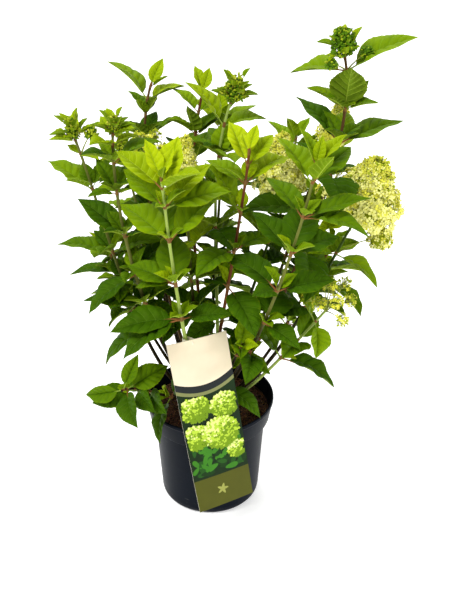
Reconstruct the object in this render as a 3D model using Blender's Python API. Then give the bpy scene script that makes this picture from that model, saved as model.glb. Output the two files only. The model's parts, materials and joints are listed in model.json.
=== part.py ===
"""A potted panicle hydrangea in early summer, built with its nursery pot, in metres with +Z up.

The origin is the middle of the flat underside of the pot. The photograph looks along +Y.
Every stem is one row of named sizes in STEMS: a bare limb rises from a short woody stump, and where
its leaves begin a mass takes over, with the rest of the stem, its whorls of leaves and its head.
The leaves follow one growing rule, and a leaf that would touch another mass is left out.
"""

import math
import random

import bmesh
import bpy
import numpy as np
from mathutils.bvhtree import BVHTree

# The pot
POT_HEIGHT = 0.172
RIM_RADIUS = 0.095
COLLAR_BOTTOM = 0.1376
COLLAR_RADIUS = 0.0888
BODY_TOP_RADIUS = 0.0824
BODY_FOOT_RADIUS = 0.0737
BASE_RADIUS = 0.0620
POT_WALL = 0.0022
POT_FLOOR = 0.0070
POT_SEGMENTS = 32
NOTCH_COUNT = 8
NOTCH_WIDTH = 0.014
NOTCH_HEIGHT = 0.006
NOTCH_DEPTH = 0.0045

# The soil and the stump
CLEARANCE = 0.0003
SOIL_TOP = 0.1500
SOIL_LUMPS = 0.0012
STUMP_RADIUS = 0.0200
STUMP_FLARE = 0.0250
STUMP_CENTRE = 0.1560
STUMP_SEGMENTS = 20

# The label
LABEL_WIDTH = 0.0850
LABEL_LENGTH = 0.2700
LABEL_THICKNESS = 0.0009
LABEL_TOP = (-0.0166, -0.0828, 0.3244)
LABEL_BOTTOM = (0.0249, -0.1128, 0.0592)
LABEL_TURN_TOP = 14.0
LABEL_TURN_BOTTOM = 24.0
STRAP_WIDTH = 0.0050
STRAP_THICKNESS = 0.0008
STRAP_STEM = "front_left"

# The leaves: shares of the leaf's length, and degrees, from the tip of a stem downwards
LEAF_WIDTH = 0.53
TUFT_NARROW = 0.80
PETIOLE = 0.13
PETIOLE_THICK = 0.0017
ROOT_OUT = 0.45
TUFT_GAPS = (0.12, 0.28, 0.50, 0.80, 1.0)
TUFT_SIZES = (0.48, 0.78, 0.96, 1.0)
TUFT_RISE = (62.0, 44.0, 32.0, 24.0, 16.0, 8.0)
TUFT_DROOP = (14.0, 26.0, 34.0, 42.0, 50.0, 56.0)
BUD_GAPS = (0.05, 0.57, 1.0, 0.86, 0.90, 1.0)
BUD_SIZES = (0.40, 0.94, 1.0, 1.0)
BUD_RISE = (44.0, 26.0, 26.0, 22.0, 16.0, 8.0)
BUD_DROOP = (10.0, 24.0, 32.0, 38.0, 46.0, 54.0)
HEAD_GAPS = (0.62, 1.0, 0.86, 0.90, 1.0)
HEAD_SIZES = (0.92, 1.0, 1.0, 1.0)
HEAD_RISE = (34.0, 30.0, 24.0, 16.0, 8.0)
HEAD_DROOP = (20.0, 30.0, 38.0, 46.0, 54.0)
TIP_RADIUS = 0.0017
LEAF_SPACE = 0.0004
SMALL_HEAD = 0.010
GOLDEN_TURN = 137.508
SEED = 41

# What is tried in turn when a leaf is in the way: a swing, a steeper rise and a smaller size
ATTEMPTS = ((0, 0, 1), (11, 4, 1), (-11, -4, 1), (22, 9, 1), (-22, -9, 1), (8, 12, 0.8), (-8, -14, 0.8),
            (18, 18, 0.72), (-18, -20, 0.72))

# One row a stem: name, a place it passes, its tip, radius at the foot, leaves in a whorl, turn of the
# top whorl in degrees (0 is to the right, 270 to the front), gap between whorls or the gaps from the tip
# down, leaf length, height where the leaves begin, kind of head, radius of the head, length of the head
STEMS = (
    ("right_tall", (0.150, 0.019, 0.460), (0.176, 0.020, 0.690), 0.0044,
     2, 90, (0.004, 0.019, 0.057, 0.046, 0.050, 0.056), 0.104, 0.37, "bud", 0.017, 0.036),
    ("back_left_tall", (-0.082, 0.080, 0.420), (-0.079, 0.120, 0.615), 0.0031,
     2, 20, (0.006, 0.018, 0.021, 0.035, 0.050, 0.060), 0.072, 0.36, "tuft", 0, 0),
    ("back_middle_tall", (-0.023, 0.088, 0.470), (-0.007, 0.100, 0.612), 0.0031,
     2, 75, (0.004, 0.030, 0.034, 0.041, 0.055), 0.074, 0.38, "tuft", 0, 0),
    ("middle_bud", (0.010, 0.052, 0.480), (0.0315, 0.060, 0.612), 0.0030,
     2, 280, (0.003, 0.035, 0.046, 0.052), 0.076, 0.36, "bud", 0.015, 0.034),
    ("front_left", (-0.0445, -0.1000, 0.440), (-0.056, -0.116, 0.583), 0.0036,
     3, 30, (0.005, 0.015, 0.028, 0.050, 0.071, 0.060), 0.098, 0.33, "tuft", 0, 0),
    ("far_left", (-0.130, -0.008, 0.410), (-0.175, 0.000, 0.583), 0.0031,
     2, 266, (0.003, 0.021, 0.052, 0.096, 0.048), 0.070, 0.32, "bud", 0.011, 0.026),
    ("left_arch", (-0.116, -0.045, 0.500), (-0.120, -0.045, 0.610), 0.0038,
     2, 95, (0.003, 0.014, 0.027, 0.042, 0.065, 0.060, 0.050), 0.088, 0.29, "bud", 0.009, 0.020),
    ("middle_red", (0.027, -0.045, 0.385), (0.0535, -0.060, 0.594), 0.0030,
     2, 40, (0.005, 0.019, 0.026, 0.044, 0.060), 0.084, 0.30, "tuft", 0, 0),
    ("front_right", (0.091, -0.104, 0.410), (0.135, -0.120, 0.603), 0.0032,
     3, 10, (0.005, 0.023, 0.048, 0.058, 0.065), 0.096, 0.26, "tuft", 0, 0),
    ("right_head", (0.160, 0.008, 0.366), (0.206, 0.004, 0.471), 0.0035,
     2, 315, (0.014, 0.058, 0.048, 0.045), 0.088, 0.32, "panicle", 0.056, 0.092),
    ("middle_head", (0.068, 0.068, 0.330), (0.100, 0.070, 0.470), 0.0032,
     2, 60, 0.052, 0.084, 0.32, "panicle", 0.035, 0.108),
    ("left_head", (-0.024, 0.012, 0.345), (-0.030, 0.030, 0.492), 0.0030,
     2, 150, 0.054, 0.080, 0.31, "panicle", 0.021, 0.085),
    ("back_right_head", (0.115, 0.085, 0.370), (0.172, 0.105, 0.538), 0.0031,
     2, 45, 0.056, 0.080, 0.34, "panicle", 0.023, 0.065),
    ("low_right_sprays", (0.098, -0.045, 0.262), (0.160, -0.072, 0.362), 0.0028,
     2, 340, 0.046, 0.088, 0.255, "spray", 0.030, 0.052),
    ("low_left", (-0.088, -0.060, 0.220), (-0.120, -0.102, 0.250), 0.0024,
     2, 200, 0.040, 0.068, 0.19, "tuft", 0, 0),
    ("left_bud", (-0.070, 0.055, 0.350), (-0.084, 0.056, 0.530), 0.0030,
     2, 200, 0.056, 0.074, 0.33, "spray", 0.026, 0.038),
    ("back_right", (0.092, 0.130, 0.350), (0.128, 0.188, 0.508), 0.0031,
     2, 50, 0.062, 0.086, 0.28, "tuft", 0, 0),
    ("back_middle", (0.010, 0.135, 0.350), (0.018, 0.195, 0.540), 0.0031,
     3, 90, 0.070, 0.084, 0.27, "tuft", 0, 0),
    ("back_left", (-0.085, 0.115, 0.330), (-0.125, 0.165, 0.490), 0.0031,
     2, 130, 0.062, 0.082, 0.26, "bud", 0.010, 0.024),
    ("low_right", (0.118, 0.045, 0.275), (0.180, 0.080, 0.385), 0.0028,
     2, 20, 0.052, 0.086, 0.265, "tuft", 0, 0),
    ("low_back_left", (-0.100, 0.050, 0.275), (-0.150, 0.075, 0.385), 0.0028,
     2, 170, 0.052, 0.080, 0.24, "tuft", 0, 0),
    ("front_low", (0.026, -0.050, 0.240), (0.046, -0.088, 0.316), 0.0026,
     2, 340, 0.044, 0.078, 0.20, "tuft", 0, 0),
)

# Leaves that show plainly in the photograph, stem by stem: whorl from the tip down, place in the whorl,
# azimuth, rise above the square to the stem, droop along the blade, share of the stem's leaf length, and
# for some how many times wider than the others
SHOWN_LEAVES = {
    "right_tall": (
        (0, 0, 165, 20, 12, 0.24), (0, 1, 25, 60, 12, 0.28), (1, 0, 150, 0, 18, 0.80),
        (1, 1, 5, 25, 14, 0.98), (2, 0, 262, 76, 12, 0.70, 1.30), (2, 1, 105, 10, 20, 0.70),
        (3, 0, 25, 25, 12, 0.95, 0.75), (3, 1, 145, 35, 20, 0.85)),
    "back_left_tall": (
        (0, 0, 75, 65, 6, 0.66), (0, 1, 10, 55, 14, 0.40), (1, 0, 160, 42, 30, 1.08),
        (1, 1, 25, 35, 20, 0.80), (2, 0, 240, 45, 8, 0.50), (2, 1, 315, 60, 8, 0.50),
        (3, 0, 10, 40, 14, 0.82)),
    "back_middle_tall": (
        (0, 0, 80, 50, 8, 0.52), (0, 1, 120, 35, 10, 0.60), (1, 0, 150, 35, 24, 0.70),
        (1, 1, 60, 25, 14, 0.60), (2, 0, 230, 70, 18, 0.75), (2, 1, 15, 45, 18, 0.55),
        (3, 0, 150, 38, 18, 0.80), (3, 1, 325, 75, 10, 0.62)),
    "middle_bud": (
        (0, 0, 185, 40, 12, 0.40), (0, 1, 10, 40, 12, 0.35), (1, 0, 160, 42, 20, 1.03),
        (1, 1, 20, 25, 30, 0.85), (2, 0, 65, 78, 14, 0.75)),
    "front_left": (
        (0, 0, 125, 55, 8, 0.55), (0, 1, 80, 55, 6, 0.45), (0, 2, 300, 65, 8, 0.28),
        (1, 0, 145, 35, 22, 0.80), (1, 1, 65, 42, 10, 0.75), (2, 0, 135, 35, 26, 0.80),
        (2, 1, 40, 30, 18, 0.85), (3, 0, 140, 30, 24, 0.90), (3, 1, 25, 40, 22, 0.97),
        (4, 0, 150, 18, 30, 0.80), (4, 1, 90, 25, 20, 0.90), (5, 0, 185, 12, 30, 1.00),
        (5, 1, 0, 10, 26, 0.72)),
    "far_left": (
        (0, 0, 55, 60, 8, 0.60), (0, 1, 180, 25, 12, 0.50), (1, 0, 320, 0, 20, 0.50),
        (1, 1, 140, 40, 10, 0.36), (2, 0, 155, 45, 20, 1.08), (2, 1, 320, 10, 20, 0.70),
        (3, 0, 180, 35, 20, 1.08)),
    "left_arch": (
        (0, 0, 125, 25, 8, 0.40), (0, 1, 340, 30, 8, 0.40), (1, 0, 235, 30, 26, 0.55),
        (1, 1, 15, 30, 24, 0.40), (2, 0, 115, 15, 26, 0.55), (2, 1, 20, 15, 24, 0.50),
        (3, 0, 215, 25, 26, 0.50), (3, 1, 325, 35, 24, 0.50), (4, 0, 140, 45, 26, 0.95),
        (4, 1, 335, 30, 24, 0.60), (5, 0, 205, -5, 34, 0.95), (5, 1, 55, 15, 24, 0.90),
        (6, 0, 185, 35, 24, 1.00), (6, 1, 70, -10, 24, 0.80)),
    "middle_red": (
        (0, 0, 75, 40, 6, 0.50), (0, 1, 110, 28, 8, 0.40), (1, 0, 120, 40, 16, 0.80),
        (1, 1, 50, 35, 16, 0.70), (2, 0, 145, 18, 20, 0.75), (3, 0, 175, 62, 24, 1.00)),
    "front_right": (
        (0, 0, 145, 55, 8, 0.55), (0, 1, 40, 50, 12, 0.60), (0, 2, 80, 80, 6, 0.40),
        (1, 0, 135, 35, 20, 0.80), (1, 1, 50, 35, 20, 0.85), (1, 2, 300, 65, 14, 0.60),
        (2, 0, 5, 36, 16, 0.92, 0.75), (2, 1, 135, 25, 24, 0.80), (3, 0, 35, 22, 26, 0.80),
        (3, 1, 135, 22, 26, 0.85), (4, 0, 225, 30, 26, 0.58), (4, 1, 15, 26, 20, 0.82),
        (5, 0, 320, 20, 30, 0.66)),
    "right_head": (
        (0, 0, 18, 20, 18, 0.56), (0, 1, 190, -30, 20, 0.62), (1, 0, 335, 5, 30, 0.85),
        (1, 1, 200, 0, 20, 0.50)),
    "low_right_sprays": (
        (0, 0, 305, -25, 30, 0.58, 1.35), (1, 0, 75, 30, 26, 0.70)),
    "low_left": (
        (0, 0, 65, -15, 12, 0.80), (0, 1, 205, 5, 24, 0.90), (1, 0, 265, 40, 30, 1.00),
        (1, 1, 40, -25, 20, 1.00), (2, 0, 295, 15, 20, 0.80)),
}

# Small heads on a twig of their own from the second whorl, stem by stem: the middle and the reach
SIDE_HEADS = {
    "right_head": ((0.235, -0.010, 0.440, 0.0150),),
    "right_tall": ((0.159, 0.012, 0.680, 0.0055), (0.205, 0.018, 0.693, 0.0065)),
    "far_left": ((-0.153, 0.000, 0.590, 0.0065),),
}


# Small vector helpers
def unit(v):
    """The vector at length one."""
    v = np.asarray(v, float)
    return v / max(np.linalg.norm(v), 1e-12)


def turned(v, axis, angle):
    """The vector turned about a unit axis by the angle, by Rodrigues' rule."""
    kept = axis * (axis @ v)
    return kept + (v - kept) * math.cos(angle) + np.cross(axis, v) * math.sin(angle)


def flat_direction(degrees):
    """The level unit direction at this azimuth."""
    a = math.radians(degrees)
    return np.array([math.cos(a), math.sin(a), 0.0])


def pick(values, place):
    """The value at this place in the list, or the last one past its end."""
    return values[min(place, len(values) - 1)]


# The shape of a stem
def spread_feet(wanted):
    """Directions from the stump's middle, pushed apart until the feet of the stems no longer crowd."""
    feet = np.array([unit(w) for w in wanted])
    for _ in range(400):
        apart = feet[:, None] - feet[None]
        far = np.linalg.norm(apart, axis=2)
        np.fill_diagonal(far, 9)
        push = np.clip(0.47 - far, 0, None)[..., None] * apart / np.maximum(far, 1e-6)[..., None]
        feet = feet + 0.25 * push.sum(axis=1)
        feet[:, 2] = np.clip(feet[:, 2], 0.16, None)
        feet /= np.linalg.norm(feet, axis=1)[:, None]
    return feet


class Stem:
    """A stem's curve and sizes: a cubic that leaves the stump square, passes one place, ends at the tip."""

    def __init__(self, row, foot):
        (self.name, via, tip, self.foot_radius, self.whorl, self.turn, self.gap, self.leaf,
         self.leaves_from, self.head, self.head_radius, self.head_length) = row
        centre = np.array([0.0, 0.0, STUMP_CENTRE])
        start = centre + foot * (STUMP_RADIUS + CLEARANCE)
        via = np.array(via)
        tip = np.array(tip)
        reach = np.linalg.norm(via - start)
        t = reach / (reach + np.linalg.norm(tip - via))
        first = start + foot * reach * 0.35
        rest = via - (1 - t) ** 3 * start - 3 * (1 - t) ** 2 * t * first - t ** 3 * tip
        second = rest / (3 * (1 - t) * t * t)
        s = np.linspace(0, 1, 241)[:, None]
        self.line = (1 - s) ** 3 * start + 3 * (1 - s) ** 2 * s * first + s ** 3 * tip
        self.line += 3 * (1 - s) * s * s * second
        steps = np.linalg.norm(np.diff(self.line, axis=0), axis=1)
        self.run = np.concatenate([[0], np.cumsum(steps)])
        self.length = self.run[-1]
        self.tip_radius = TIP_RADIUS
        if self.head == "tuft":
            self.gaps, self.sizes, self.rises, self.droops = TUFT_GAPS, TUFT_SIZES, TUFT_RISE, TUFT_DROOP
        elif self.head == "bud":
            self.gaps, self.sizes, self.rises, self.droops = BUD_GAPS, BUD_SIZES, BUD_RISE, BUD_DROOP
        else:
            self.gaps, self.sizes, self.rises, self.droops = HEAD_GAPS, HEAD_SIZES, HEAD_RISE, HEAD_DROOP
        self.joints = self.find_joints()
        self.mass_from = self.joints[-1] - 0.010
        self.rings = [self.mass_from + CLEARANCE / 2]
        for above, below in zip(self.joints[-2::-1], self.joints[:0:-1]):
            if above - below > 0.017:
                self.rings.append(below + 0.4 * (above - below))
        self.rings.append(self.length)
        self.ring_centres = np.array([self.at(run)[0] for run in self.rings])

    def at(self, run):
        """The point and the unit direction at this run along the stem."""
        point = np.array([np.interp(run, self.run, self.line[:, i]) for i in range(3)])
        ahead = np.array([np.interp(run + 0.002, self.run, self.line[:, i]) for i in range(3)])
        behind = np.array([np.interp(run - 0.002, self.run, self.line[:, i]) for i in range(3)])
        return point, unit(ahead - behind)

    def middle(self, run):
        """The middle of the straight-sided twig at this run, so that a leaf roots in the twig as built."""
        return np.array([np.interp(run, self.rings, self.ring_centres[:, i]) for i in range(3)])

    def radius(self, run):
        """The radius falls evenly from foot to tip, a little faster near the foot."""
        share = min(max(run / self.length, 0), 1)
        return self.foot_radius + (self.tip_radius - self.foot_radius) * share ** 0.75

    def find_joints(self):
        """Runs along the stem of its leaf joints, from the tip down to the height where leaves begin."""
        places = []
        run = self.length
        for step in range(30):
            if isinstance(self.gap, tuple):
                run -= pick(self.gap, step)
            else:
                run -= self.gap * pick(self.gaps, step)
            if run < 0.03 or (places and self.at(run)[0][2] < self.leaves_from):
                break
            places.append(run)
        return places


def tube(stem, runs, sides, point_end=False):
    """Rings square to the stem at these runs, with a cap or a point at the end."""
    side = None
    rings = []
    for run in runs:
        centre, along = stem.at(run)
        if side is None:
            side = np.cross(along, np.array([0.31, 0.95, 0.05]))
        side = unit(side - along * (side @ along))
        other = np.cross(along, side)
        radius = stem.radius(run)
        angles = [2 * math.pi * i / sides for i in range(sides)]
        rings.append([centre + radius * (math.cos(a) * side + math.sin(a) * other) for a in angles])
    return skin(rings, point_end and stem.at(runs[-1])[0] + stem.at(runs[-1])[1] * 0.003)


def skin(rings, end_point=False):
    """Points and faces of a closed skin over rings of equal count, both ends capped."""
    count = len(rings[0])
    points = [p for ring in rings for p in ring]
    faces = []
    for r in range(len(rings) - 1):
        for i in range(count):
            a = r * count + i
            b = r * count + (i + 1) % count
            faces.append((a, b, b + count, a + count))
    faces.append(tuple(reversed(range(count))))
    last = (len(rings) - 1) * count
    if end_point is False:
        faces.append(tuple(last + i for i in range(count)))
    else:
        points.append(end_point)
        for i in range(count):
            faces.append((last + i, last + (i + 1) % count, len(points) - 1))
    return points, faces


# The shape of a leaf
class Leaf:
    """A leaf as it sits on its stem: where it roots, which way it leaves, how it arches, folds and rolls."""

    def __init__(self, stem, step, centre, along, azimuth, rise, droop, roll, fold, length, width):
        self.stem = stem
        self.step = step
        self.length = length
        self.width = width
        self.fold = math.radians(fold)
        self.droop = math.radians(droop)
        level = flat_direction(azimuth)
        out = unit(level - along * (level @ along))
        rise = math.radians(rise)
        self.root = centre + out * stem.radius(stem.joints[step]) * ROOT_OUT
        self.ahead = unit(out * math.cos(rise) + along * math.sin(rise))
        side = unit(np.cross(along, out))
        self.side = turned(side, self.ahead, math.radians(roll))
        self.up = np.cross(self.ahead, self.side)
        self.petiole = length * PETIOLE

    def spine(self, share):
        """The middle line at a share of the blade, with the blade's direction and upward normal there: an
        arc of even curvature that turns by the droop over the blade's length."""
        blade = self.length - self.petiole
        angle = self.droop * share
        radius = blade / max(self.droop, 1e-4)
        start = self.root + self.ahead * self.petiole
        point = start + radius * (math.sin(angle) * self.ahead - (1 - math.cos(angle)) * self.up)
        ahead = math.cos(angle) * self.ahead - math.sin(angle) * self.up
        return point, ahead, np.cross(ahead, self.side)

    def ring(self, point, up, half, thick):
        """Left edge, upper middle, right edge and lower middle of a folded section."""
        lift = up * half * math.tan(self.fold)
        return [point - self.side * half + lift, point + up * thick / 2,
                point + self.side * half + lift, point - up * thick / 2]

    def solid(self, space=0.0, cut=False):
        """Points and faces of the leaf, swollen by the space given, or also cut short of its stem."""
        thick = max(0.0011, self.length / 85) + 2 * space
        root = self.root + self.ahead * (self.petiole * 0.75 if cut else 0.0)
        rings = [self.ring(root, self.up, PETIOLE_THICK / 2 + space, PETIOLE_THICK * 0.8 + 2 * space)]
        shares = ((0.28, 0.95), (0.62, 0.76)) if self.length > 0.064 else ((0.40, 0.98),)
        for share, wide in shares:
            point, ahead, up = self.spine(share)
            rings.append(self.ring(point, up, self.width / 2 * wide + space, thick))
        point, ahead, up = self.spine(1.0)
        points = [p for ring in rings for p in ring] + [point + ahead * space]
        faces = [(0, 1, 2), (0, 2, 3)]
        for r in range(len(rings) - 1):
            a = 4 * r
            b = a + 4
            for p, q in ((0, 1), (0, 3), (2, 1), (2, 3)):
                outward = (a + p, b + q, a + q), (a + p, b + p, b + q)
                if (p, q) in ((0, 3), (2, 1)):
                    outward = tuple(tuple(reversed(face)) for face in outward)
                faces += outward
        last = 4 * (len(rings) - 1)
        tip = len(points) - 1
        faces += [(last + i, tip, last + (i + 1) % 4) for i in range(4)]
        return points, [tuple(reversed(face)) for face in faces[:2]] + faces[2:]


# Keeping the masses apart
class Room:
    """What is already in place, so that a new leaf can be tested against all of it but its own stem."""

    def __init__(self):
        self.low = []
        self.high = []
        self.kept = []

    def add(self, whole, owner, cut=None):
        """Keeps a solid, and for a leaf also its shape cut short of the stem, which its own stem's leaves
        meet."""
        points = np.array(whole[0])
        self.low.append(points.min(axis=0))
        self.high.append(points.max(axis=0))
        self.kept.append((tree_of(whole), owner, cut and tree_of(cut)))

    def free(self, whole, cut, owner):
        """Whether this leaf crosses nothing of another owner, and no leaf of its own stem past its stalk."""
        points = np.array(whole[0])
        low = np.array(self.low)
        high = np.array(self.high)
        near = np.all((low < points.max(axis=0)) & (high > points.min(axis=0)), axis=1)
        whole_tree = tree_of(whole)
        cut_tree = tree_of(cut)
        for i in np.flatnonzero(near):
            other, its_owner, its_cut = self.kept[i]
            if its_owner != owner and whole_tree.overlap(other):
                return False
            if its_owner == owner and its_cut and cut_tree.overlap(its_cut):
                return False
        return True


def tree_of(solid):
    """A search tree of a solid's faces."""
    return BVHTree.FromPolygons([tuple(p) for p in solid[0]], [tuple(f) for f in solid[1]])


# The heads
def lump(centre, out, wide, thick, turn, deep=None):
    """An eight-sided lump: a flat double pyramid on the direction out, its four corners wide apart, its inner
    point as deep as given."""
    side = unit(np.cross(out, flat_direction(turn) + np.array([0, 0, 0.37])))
    other = np.cross(out, side)
    points = [centre - out * (deep or thick), centre + out * thick,
              centre + side * wide, centre + other * wide, centre - side * wide, centre - other * wide]
    faces = []
    for i in range(4):
        a = 2 + i
        b = 2 + (i + 1) % 4
        faces += [(0, b, a), (1, a, b)]
    return points, faces


def head_outline(share):
    """Radius of a panicle at a share of its length, as a share of its widest: round below, a cone above."""
    return min(1.0, math.sqrt(max(share, 0) / 0.16)) * (1 - max(share - 0.16, 0) / 0.84 * 0.78)


def fine_twig(root, end, thick, thin):
    """A three-sided twig between two points."""
    direction = unit(end - root)
    across = unit(np.cross(direction, np.array([0.31, 0.05, 0.9])))
    over = np.cross(direction, across)
    rings = []
    for point, radius in ((root, thick), (end, thin)):
        rings.append([point + radius * (math.cos(b) * across + math.sin(b) * over)
                      for b in (0, 2 * math.pi / 3, 4 * math.pi / 3)])
    return skin(rings)


def side_head(stem, place):
    """A small head on a thin twig from the second whorl: one lump, or eight more round it when large."""
    root = stem.middle(stem.joints[1])
    centre = np.array(place[:3])
    reach = place[3]
    shapes = [fine_twig(root, centre, 0.0012, 0.0009)]
    shapes.append(lump(centre, unit(centre - root), reach * 0.9, reach, 20))
    if reach > SMALL_HEAD:
        for i in range(8):
            out = unit(flat_direction(i * GOLDEN_TURN) + np.array([0, 0, 0.9 - 0.22 * i]))
            shapes.append(lump(centre + out * reach, out, 0.0088, 0.0035, 45 * i, reach - 0.0025))
    return shapes


def make_head(stem, rng):
    """The solids of a stem's head: core and lumps of a panicle, lumps of a bud, or lumps on fine twigs."""
    tip, along = stem.at(stem.length)
    along = unit(along + np.array([0, 0, 0.55]))
    side = unit(np.cross(along, np.array([0.2, 0.9, 0.1])))
    other = np.cross(along, side)
    shapes = []
    if stem.head == "panicle":
        start = tip - along * 0.004
        rings = []
        sides = 6
        for share in (0.0, 0.14, 0.40, 0.68, 0.92):
            radius = max(stem.head_radius * 0.70 * head_outline(share), 0.004)
            ring = []
            for i in range(sides):
                a = 2 * math.pi * (i + 0.5 * share) / sides
                reach = radius * rng.uniform(0.84, 1.12)
                ring.append(start + along * stem.head_length * 0.9 * share
                            + reach * (math.cos(a) * side + math.sin(a) * other))
            rings.append(ring)
        shapes.append(skin(rings, start + along * stem.head_length * 0.93))
        count = max(9, int(stem.head_length * stem.head_radius * 3800))
        for i in range(count):
            share = 0.04 + 0.90 * ((i + 0.5) / count) ** 1.15
            a = math.radians(i * GOLDEN_TURN)
            wide = 0.0098 * (0.72 + 0.5 * stem.head_radius / 0.04)
            radius = max(stem.head_radius * head_outline(share) - 0.0035, 0.002) * rng.uniform(0.90, 1.06)
            flat = math.cos(a) * side + math.sin(a) * other
            out = unit(flat + along * (0.15 + 0.9 * share))
            centre = start + along * stem.head_length * share * 0.94 + flat * radius
            shapes.append(lump(centre, out, wide, 0.0035, rng.uniform(0, 360), radius * 0.55 + 0.004))
    elif stem.head == "bud":
        start = tip + along * 0.002
        shapes.append(lump(start + along * stem.head_length * 0.35, along, stem.head_radius * 0.62,
                           stem.head_length * 0.46, 30))
        for i in range(7):
            share = 0.20 + 0.62 * i / 6
            a = math.radians(i * GOLDEN_TURN)
            flat = math.cos(a) * side + math.sin(a) * other
            radius = stem.head_radius * (0.72 - 0.45 * share)
            centre = start + along * stem.head_length * share + flat * radius * rng.uniform(0.92, 1.08)
            deep = radius + 0.002 * rng.uniform(0.8, 1.2)
            shapes.append(lump(centre, unit(flat + along * 0.4), 0.0046, 0.0048, 40 * i, deep))
    elif stem.head == "spray":
        for i in range(9):
            a = math.radians(i * GOLDEN_TURN)
            share = i / 8
            flat = math.cos(a) * side + math.sin(a) * other
            end = tip + along * stem.head_length * (0.15 + 0.8 * share)
            end = end + flat * stem.head_radius * (1.05 - 0.6 * share)
            root = tip - along * 0.002
            shapes.append(fine_twig(root, end, 0.0010, 0.0007))
            direction = unit(end - root)
            shapes.append(lump(end, unit(direction + along * 0.4), 0.0078, 0.0042, 50 * i))
    for place in SIDE_HEADS.get(stem.name, ()):
        shapes += side_head(stem, place)
    return shapes


# Growing
def grow(stems, room):
    """Leaves for every stem, top whorls first, each tried at a few turns and sizes, left out if none fits."""
    rng = random.Random(SEED)
    shown = {(name, *row[:2]): row[2:] for name, rows in SHOWN_LEAVES.items() for row in rows}
    leaves = []
    skipped = 0
    for step in range(max(len(stem.joints) for stem in stems)):
        for stem in stems:
            if step >= len(stem.joints):
                continue
            root = stem.middle(stem.joints[step])
            along = stem.at(stem.joints[step])[1]
            apart = 360.0 / stem.whorl
            for member in range(stem.whorl):
                azimuth = stem.turn + step * apart / 2 + member * apart
                rise = pick(stem.rises, step)
                droop = pick(stem.droops, step)
                size = pick(stem.sizes, step)
                jitter = [rng.uniform(-1, 1) for _ in range(6)]
                wide = TUFT_NARROW if step == 0 and stem.head == "tuft" else 1.0
                if (stem.name, step, member) in shown:
                    azimuth, rise, droop, size, *given = shown[stem.name, step, member]
                    wide = given[0] if given else wide
                    jitter = [0.2 * j for j in jitter]
                for swing, steeper, smaller in ATTEMPTS:
                    length = stem.leaf * size * (1 + 0.09 * jitter[2]) * smaller
                    fold = 30 - 4 * min(step, 4) + 5 * jitter[5]
                    leaf = Leaf(stem, step, root, along, azimuth + 9 * jitter[0] + swing,
                                rise + 7 * jitter[1] + steeper, droop + 8 * jitter[3],
                                14 * jitter[4], fold, length, length * LEAF_WIDTH * wide)
                    whole = leaf.solid(LEAF_SPACE)
                    cut = leaf.solid(LEAF_SPACE, True)
                    if min(p[2] for p in whole[0]) < 0.02:
                        continue
                    if room.free(whole, cut, stem.name):
                        room.add(whole, stem.name, cut)
                        leaves.append(leaf)
                        break
                else:
                    skipped += 1
    return leaves, skipped


# Building the objects
def new_object(name, points, faces, collection=None):
    mesh = bpy.data.meshes.new(name)
    mesh.from_pydata([tuple(float(c) for c in p) for p in points], [], [tuple(f) for f in faces])
    shape = bmesh.new()
    shape.from_mesh(mesh)
    bmesh.ops.recalc_face_normals(shape, faces=shape.faces)
    shape.to_mesh(mesh)
    shape.free()
    obj = bpy.data.objects.new(name, mesh)
    (collection or bpy.context.scene.collection).objects.link(obj)
    return obj


def material(name, colour, rough):
    found = bpy.data.materials.get(name)
    if found:
        return found
    made = bpy.data.materials.new(name)
    made.use_nodes = True
    shader = made.node_tree.nodes["Principled BSDF"]
    shader.inputs["Base Color"].default_value = (*colour, 1)
    shader.inputs["Roughness"].default_value = rough
    made.diffuse_color = (*colour, 1)
    return made


def rounded_off(obj):
    """Shades a round piece smooth and keeps its real edges sharp."""
    obj.data.shade_smooth()
    obj.data.set_sharp_from_angle(angle=math.radians(35))


def lathe(profile, segments, shift=None):
    """Points and faces of a turned solid: the profile's first and last points lie on the axis."""
    points = [(0, 0, profile[0][1])]
    middle = profile[1:-1]
    for row, (radius, height) in enumerate(middle):
        for i in range(segments):
            a = 2 * math.pi * i / segments
            lift = shift(row, i) if shift else 0.0
            points.append((radius * math.cos(a), radius * math.sin(a), height + lift))
    points.append((0, 0, profile[-1][1]))
    faces = []
    for i in range(segments):
        j = (i + 1) % segments
        faces.append((0, 1 + j, 1 + i))
        for row in range(len(middle) - 1):
            a = 1 + row * segments
            faces.append((a + i, a + j, a + segments + j, a + segments + i))
        last = 1 + (len(middle) - 1) * segments
        faces.append((last + i, last + j, len(points) - 1))
    return points, faces


def joined(base, others, operation):
    """One Boolean on a collection, applied to the base, with the collection and its objects then removed."""
    modifier = base.modifiers.new("join", "BOOLEAN")
    modifier.operation = operation
    modifier.operand_type = "COLLECTION"
    modifier.collection = others
    modifier.solver = "EXACT"
    bpy.context.view_layer.update()
    graph = bpy.context.evaluated_depsgraph_get()
    mesh = bpy.data.meshes.new_from_object(base.evaluated_get(graph))
    base.modifiers.clear()
    base.data = mesh
    for helper in list(others.objects):
        bpy.data.objects.remove(helper, do_unlink=True)
    bpy.data.collections.remove(others)


def helpers(name):
    group = bpy.data.collections.new(name)
    bpy.context.scene.collection.children.link(group)
    return group


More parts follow.
